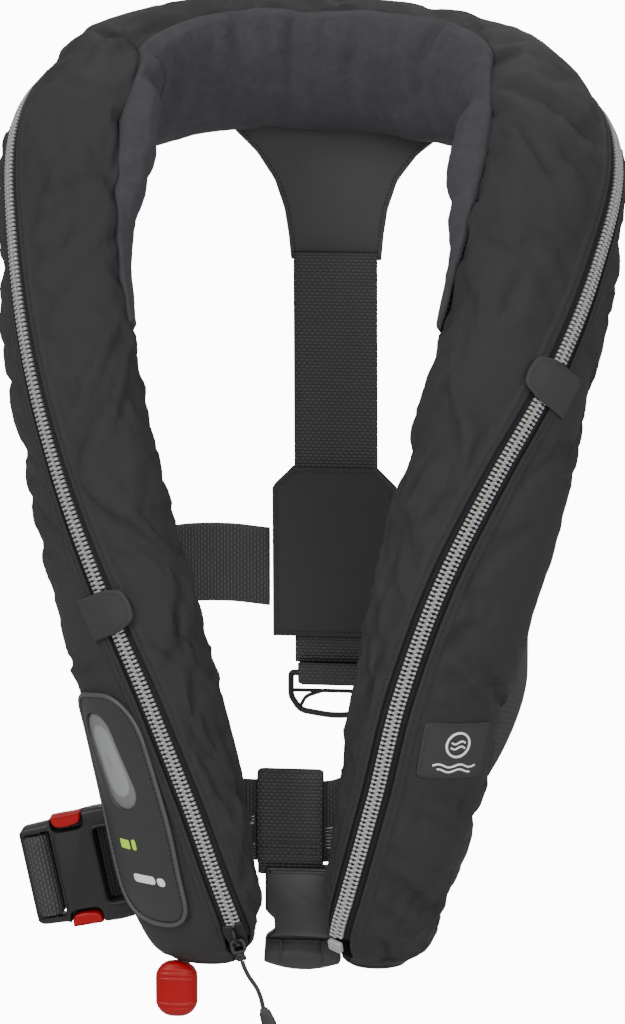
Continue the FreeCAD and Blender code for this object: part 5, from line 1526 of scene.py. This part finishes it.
def tongue():
    across = (1, 0, 0)
    route = [((LOOP_X, -86.6, -433.0), across, (0, -1, 0)), ((LOOP_X, -86.8, -427.0), across, (0, -1, 0)),
             ((LOOP_X, -90.0, -423.0), across, (0, -1, 0)), ((LOOP_X, -90.2, -400.0), across, (0, -1, 0))]
    for step in range(7):
        turn = math.radians(30 * step)
        out = np.array((0, -math.cos(turn), math.sin(turn)))
        route.append((np.array((LOOP_X, -85.2, -374.5)) + out * 4.8, across, out))
    route += [((LOOP_X, -80.4, -400.0), across, (0, 1, 0)), ((LOOP_X, -80.4, -423.0), across, (0, 1, 0)),
              ((LOOP_X, -83.6, -427.0), across, (0, 1, 0)), ((LOOP_X, -83.8, -433.0), across, (0, 1, 0))]
    band("loop_web", route, 39.0, "tongue_loop")
    for k, z in enumerate((-409.0, -412.5, -416.0, -419.5)):
        x = np.linspace(LOOP_X - 17, LOOP_X + 17, 40)
        line = np.stack([x, np.full(40, -91.35), np.full(40, z)], -1) * MM
        stitches("loop_stitches_%d" % k, line, np.tile((0.0, -1.0, 0.0), (40, 1)), "jacket", "webbing", 2.4,
                 0.8)
    matrix = back_frame(TONGUE_TOP[0], TONGUE_TOP[1] + 5.5, TONGUE_TOP[2], 0.0)
    outline = rounded([(-22, -1), (-22, -28), (-16.5, -33.5), (-16.5, -40.5), (-22, -44.5), (-23, -60),
                       (0, -67.5),
                       (23, -60), (22, -44.5), (16.5, -40.5), (16.5, -33.5), (22, -28), (22, -1)],
                      [3, 2, 2.5, 2.5, 1, 2, 60, 2, 1, 2.5, 2.5, 2, 3], 6)
    # The tongue gets the lightened copy of the black plastic: painted light against its shade.
    body = prism("tongue_body", outline, 0.0, 11.0, matrix, "tongue_plastic", 1.6)
    ridge_line = [(x, -3.6 - 0.4 * abs(x) / 20, 11.1) for x in np.linspace(-19.5, 19.5, 16)]
    ridge = bar("tongue_ridge", to_frame(matrix, ridge_line), 1.2, "tongue_plastic", 12)
    rails = []
    for k, s in enumerate((-1, 1)):
        rail = [(s * 12.5, y, 10.9) for y in np.linspace(-46, -60, 8)]
        rails.append(bar("tongue_rail_%d" % k, to_frame(matrix, rail), 0.7, "tongue_plastic", 8))
    hole = box_outline(LOOP_X - 3 - 20.1, LOOP_X - 3 + 20.1, -8, 4, 0.6, 3)
    mouth = prism("tongue_mouth", hole, 1.3, 9.7, matrix, "tongue_plastic", 0.01)
    cut_out(body, [mouth])
    whole = dress(merged("tongue_plastic", [body, ridge] + rails), "tongue_plastic")
    place(whole, "tongue", "black_plastic", "buckle_tongue")


TILT = math.radians(12)
HOUSING = np.array([[math.cos(TILT), -math.sin(TILT), 0, -0.1245], [0, 0, -1, -0.064],
                    [math.sin(TILT), math.cos(TILT), 0, -0.4365], [0, 0, 0, 1]])


def housing():
    outline = rounded([(-41.5, -30), (-23.5, -31), (-20, -33), (10, -35.5), (37.5, -31), (37.5, 31),
                       (10, 35.5),
                       (-20, 33), (-23.5, 31), (-41.5, 30)], [6, 1, 3, 60, 10, 10, 60, 3, 1, 6], 7)
    body = prism("housing_body", outline, -7, 7, HOUSING, "black_plastic", 1.8)

    def tool(name, shape, low=-12, high=12):
        return prism(name, shape, low, high, HOUSING, "black_plastic", 0.01)

    tools = [tool("housing_slot_tool", box_outline(3.5, 25.5, -23.5, 23.5, 3.5)),
             tool("housing_gap_tool", box_outline(-28.5, -22.5, -27, 27, 1.5)),
             tool("housing_front_tool", box_outline(-45, -28.4, -26.5, 26.5, 1.0), 3.4, 12),
             tool("housing_rear_tool", box_outline(-45, -28.4, -26.5, 26.5, 1.0), -12, -3.4)]
    for k, s in enumerate((1, -1)):
        well = rounded([(-21.4, s * 24.2), (-0.6, s * 24.2), (-0.6, s * 40), (-21.4, s * 40)], [6, 6, 0, 0],
                       7)
        tools.append(tool("housing_well_tool_%d" % k, well, -4, 12))
    cut_out(body, tools)
    bevelled(body, 0.5, 3, 55)
    rim_line = box_outline(2.4, 26.6, -24.6, 24.6, 4.2, 7)
    rim = bar("housing_rim", to_frame(HOUSING, np.column_stack([rim_line, np.full(len(rim_line), 7.0)])),
              1.0, "black_plastic", 10, closed=True)
    groove = bar("housing_ridge", to_frame(HOUSING, [(-21.6, y, 6.8) for y in np.linspace(-22.5, 22.5, 20)]),
                 0.8, "black_plastic", 10)
    body = merged("housing_plastic", [baked(body), rim, groove])
    place(dress(body, "black_plastic"), "buckle", "black_plastic", "buckle_housing")
    for name, s, node in (("button_red_upper", 1, "release_button_upper"),
                          ("button_red_lower", -1, "release_button_lower")):
        cap_line = rounded([(-20.6, s * 34.7), (-19.5, s * 27.6), (-11, s * 27.1), (-2.5, s * 28.6),
                            (-1.4, s * 34.9)],
                           [1, 5, 8, 5, 1], 6)
        pad = prism(name, cap_line, -3.6, 7.1, HOUSING, "red_plastic", 1.1)
        place(pad, "button_upper" if s > 0 else "button_lower", "red_plastic", node)


def housing_spot(x, y, z):
    return to_frame(HOUSING, [(x, y, z)])[0] / MM


def buckle_belt():
    across = HOUSING[:3, 1]
    front = HOUSING[:3, 2]
    route = [((-73.9, -72.8, -353), (0.1, 0, 1), (-.55, -.84, 0)),
             ((-81.5, -61.6, -373), (-0.1, 0, 1), (-.6, -.8, 0)),
             ((-92, -56.0, -399), (-0.28, 0, 1), (-.3, -.95, 0)),
             ((-103, -53.6, -421), (-0.28, 0, 1), (-.05, -1, 0)),
             (housing_spot(10, 0, -10.5), across, front), (housing_spot(-10, 0, -10.5), across, front),
             (housing_spot(-25, 0, -10.3), across, front)]
    wrap = ((-33.5, -8.6, -.35, -1), (-38.0, -4.6, -.85, -.6), (-39.4, 0.6, -1, .1), (-37.2, 5.6, -.7, .7),
            (-32.6, 7.7, -.1, 1), (-28.3, 7.1, .5, .85), (-25.6, 4.2, .9, .4), (-24.9, 0.2, 1, 0),
            (-24.9, -4.4, 1, 0))
    for x, z, out_x, out_z in wrap:
        route.append((housing_spot(x, 0, z), across, HOUSING[:3, :3] @ np.array((-out_x, 0, -out_z))))
    band("buckle_web", route, BELT_WIDTH, "belt_end", body="buckle")


# ---------------------------------------------------------------- the firing handle
TOGGLE_TOP = (-71.0, -100.5, -484.5)


def toggle():
    matrix = back_frame(TOGGLE_TOP[0], TOGGLE_TOP[1], TOGGLE_TOP[2], 0.0)
    rows = []
    levels = 44
    turn = np.linspace(0, 2 * math.pi, 48, endpoint=False)
    for k in range(levels + 1):
        f = k / levels
        y = -34.5 * f
        end = min(f, 1 - f) / 0.26
        shape = math.sqrt(max(0.0, 1 - (1 - min(end, 1)) ** 2))
        wide = 2.0 + 10.5 * shape
        deep = 1.4 + 6.1 * shape
        rib = 0.55 * math.sin(f * 2 * math.pi * 11) if (f < 0.30 or f > 0.70) else 0.0
        rib *= min(1.0, end)
        face = np.abs(np.sin(turn)) > 0.35
        lift = rib * np.where(face, 1.0, 0.25)
        x = (wide + lift * 0.4) * np.sign(np.cos(turn)) * np.abs(np.cos(turn)) ** 0.75
        z = (deep + lift) * np.sign(np.sin(turn)) * np.abs(np.sin(turn)) ** 0.7
        bow = 1.2 * (np.abs(x) / 12.5) ** 2 * math.cos(math.pi * f)
        rows.append(np.stack([x, y - bow, z], -1))
    points = np.concatenate(rows)
    body = new_object("toggle_red",
                      new_mesh("toggle_red", to_frame(matrix, points), ring_faces(levels + 1, 48)))
    dress(body, "red_plastic")
    faced_out(body)
    place(body, "handle", "red_plastic", "pull_toggle")
    low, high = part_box("toggle_lanyard")
    middle = (np.array(low) + np.array(high)) / 2 / MM
    route = [((middle[0], middle[1], z), (1, 0, 0), (0, -1, 0)) for z in np.linspace(low[2] / MM,
                                                                                     high[2] / MM, 6)]
    band("lanyard_web", route, 5.0, "toggle_lanyard", 4, "handle", 1.6)


# ---------------------------------------------------------------- inside the lobes
INFLATOR_AT = 22.9


def inflator_frame():
    centre, along, normal, outward = roll(INFLATOR_AT)[:4]
    matrix = np.eye(4)
    matrix[:3, 0], matrix[:3, 1], matrix[:3, 2] = outward, normal, -along
    matrix[:3, 3] = centre - along * 19 * MM
    return matrix


def inner_parts():
    matrix = inflator_frame()

    def disc(name, x, z, radius, low, high, material, dome):
        """A moulded cap facing the window, on an axis along the frame's y."""
        rings = []
        for k in range(7):
            f = k / 6
            rings.append((radius * (1 - 0.02 * f), low + (high - low) * f))
        for k in range(1, 9):
            turn = math.pi / 2 * k / 8
            rings.append((radius * 0.98 * math.cos(turn) + 0.01, high + dome * math.sin(turn)))
        spin = np.linspace(0, 2 * math.pi, 40, endpoint=False)
        points = np.concatenate([np.stack([x + r * np.cos(spin), np.full(40, y), z - r * np.sin(spin)], -1)
                                 for r, y in rings])
        mesh = new_mesh(name, to_frame(matrix, points), ring_faces(len(rings), 40))
        return dress(new_object(name, mesh), material)

    capsule = disc("capsule_cap", 17, 8, 9.4, 15.3, 17.4, "beige_plastic", 2.2)
    place(capsule, "jacket", "grey_plastic", "sensor_capsule")
    blister = disc("indicator_blister", 15.5, -20.5, 8.4, 15.3, 16.2, "clear", 2.4)
    place(blister, "jacket", "clear", "status_indicator")
    plunger = disc("indicator_plunger", 15.5, -20.5, 2.6, 15.2, 16.6, "lime_print", 0.6)
    place(plunger, "jacket", "white_plastic")
    finishes = {
        "inflator_body": "white_plastic", "co2_cylinder": "steel", "lever_pin": "steel",
        "firing_lever": "red_plastic",
        "inflator_gasket": "gasket", "oral_tube": "gasket", "oral_valve": "black_plastic",
        "oral_cap": "black_plastic", "whistle": "signal_orange", "hook_patch_right": "patch_cloth",
        "hook_patch_left": "patch_cloth",
    }
    for node, finish in finishes.items():
        obj = frame["nodes"][node]
        obj.data.materials.clear()
        obj.data.materials.append(MATERIALS[finish])
        bevelled(obj, 0.6 if node != "lever_pin" else 0.2, 3, 40)


def bladder_folds():
    """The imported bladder: an oval form with lengthwise folds."""
    t = stops(1.5, 24.5, 7.0)[:, None]
    turns = np.linspace(0, 360, 72, endpoint=False)[None, :]
    centre, _, normal, outward, wide, deep = roll(t)
    past = np.where(t > 13, (t - 19.0) / 1.5, (6.5 - t) / 1.5)
    folded = np.clip(past, 0, 1)[..., None]
    span = (wide - 6.2 * MM) * (1 - 0.38 * folded)
    half = (deep - 6.2 * MM) * (1 - 0.78 * folded)
    angle = np.radians(turns)[..., None]
    ripple = 1 + 0.035 * np.sin(angle * 9 + 2 * np.sin(t[..., None] * 1.7)) - 0.02
    points = (centre - normal * deep * 0.66 * folded + outward * span * np.cos(angle) * ripple
              + normal * half * np.sin(angle) * ripple)
    rows, cols = points.shape[:2]
    flat = np.stack(np.broadcast_arrays(along_mm(t) * MM, turns * ROUND_MM * MM), -1)
    mesh = new_mesh("bladder_fold", points, tube_faces(rows, cols))
    obj = dress(new_object("bladder_fold", mesh), "bladder", flat)
    place(obj, "jacket", "bladder_film", "bladder")


# ---------------------------------------------------------------- setting and view
TARGET = Vector((4.90, -46.65, -220.67)) * MM
AWAY = Vector((0.10225, -0.97279, 0.20791))
CAMERA_DISTANCE, CARD_DISTANCE, FLOOR_DROP = 3.5, 4.5, 1.7
FLOOR_HALF, CARD_HALF = 60, (0.62, 0.86)
# Each light: place (m), size (m) and power (W).
LIGHTS = {
    "key": ((-1.5, -1.6, 1.5), 1.0, 52), "fill": ((2.0, -1.5, 0.5), 1.3, 22),
    "front": ((0.6, -3.3, 0.7), 1.8, 62), "rim": ((0.4, 1.6, 1.6), 1.2, 14),
}


def flat_sheet(name, half_x, half_y):
    spots = [(-half_x, -half_y, 0), (half_x, -half_y, 0), (half_x, half_y, 0), (-half_x, half_y, 0)]
    return new_object(name, new_mesh(name, spots, [(0, 1, 2, 3)]))


def setting():
    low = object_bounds()[0]
    floor = flat_sheet("floor", FLOOR_HALF, FLOOR_HALF)
    floor.location.z = low[2] - FLOOR_DROP
    paint = finish_material("pale_floor", (0.86, 0.86, 0.86), 0.8, grain(60.0, 0.0002), 0.01, 3.0)
    floor.data.materials.append(paint)
    card = flat_sheet("backdrop", *CARD_HALF)
    card.location = TARGET - AWAY * CARD_DISTANCE
    card.rotation_euler = AWAY.to_track_quat("Z", "Y").to_euler()
    glow = finish_material("lit_backdrop", (0.9, 0.9, 0.9), 0.8, grain(60.0, 0.0002), 0.01, 3.0,
                           Emission_Strength=11.0)
    glow.node_tree.nodes["Principled BSDF"].inputs["Emission Color"].default_value = (1, 1, 1, 1)
    card.data.materials.append(glow)
    world = bpy.data.worlds.new("studio")
    bpy.context.scene.world = world
    world.use_nodes = True
    world.node_tree.nodes["Background"].inputs["Color"].default_value = (1, 1, 1, 1)
    world.node_tree.nodes["Background"].inputs["Strength"].default_value = 0.42
    target = Vector((0.0, -0.03, -0.22))
    for name, (where, size, power) in LIGHTS.items():
        light = bpy.data.lights.new(name, "AREA")
        light.size = size
        light.energy = power
        obj = new_object(name, light)
        obj.location = where
        obj.rotation_euler = (target - obj.location).to_track_quat("-Z", "Y").to_euler()


def camera():
    data = bpy.data.cameras.new("view")
    data.sensor_fit = "VERTICAL"
    data.sensor_height = 36.0
    data.lens = 206.7
    data.clip_end = 200.0
    obj = new_object("view", data)
    obj.location = TARGET + AWAY * CAMERA_DISTANCE
    obj.rotation_euler = (-AWAY).to_track_quat("-Z", "Y").to_euler()
    bpy.context.scene.camera = obj


camera()
cover_panel("cover_cloth_outer", -1, "cover_outer_panel")
cover_panel("cover_cloth_inner", 1, "cover_inner_panel")
lobe_end("lobe_end_left", 1, 0, "cover_hem_left")
lobe_end("lobe_end_right", -1, LAST, "cover_hem_right")
collar()
zipper()
zip_hardware()
slider()
pull()
burst_tab("tab_cloth_right", 21.22, "tab_right", "burst_tab_right")
burst_tab("tab_cloth_left", 6.82, "tab_left", "burst_tab_left")
window()
emblem()
back_pieces()
belts()
tongue()
housing()
buckle_belt()
toggle()
inner_parts()
bladder_folds()
setting()


def corners(box):
    return [[float(v) for v in corner] for corner in box]
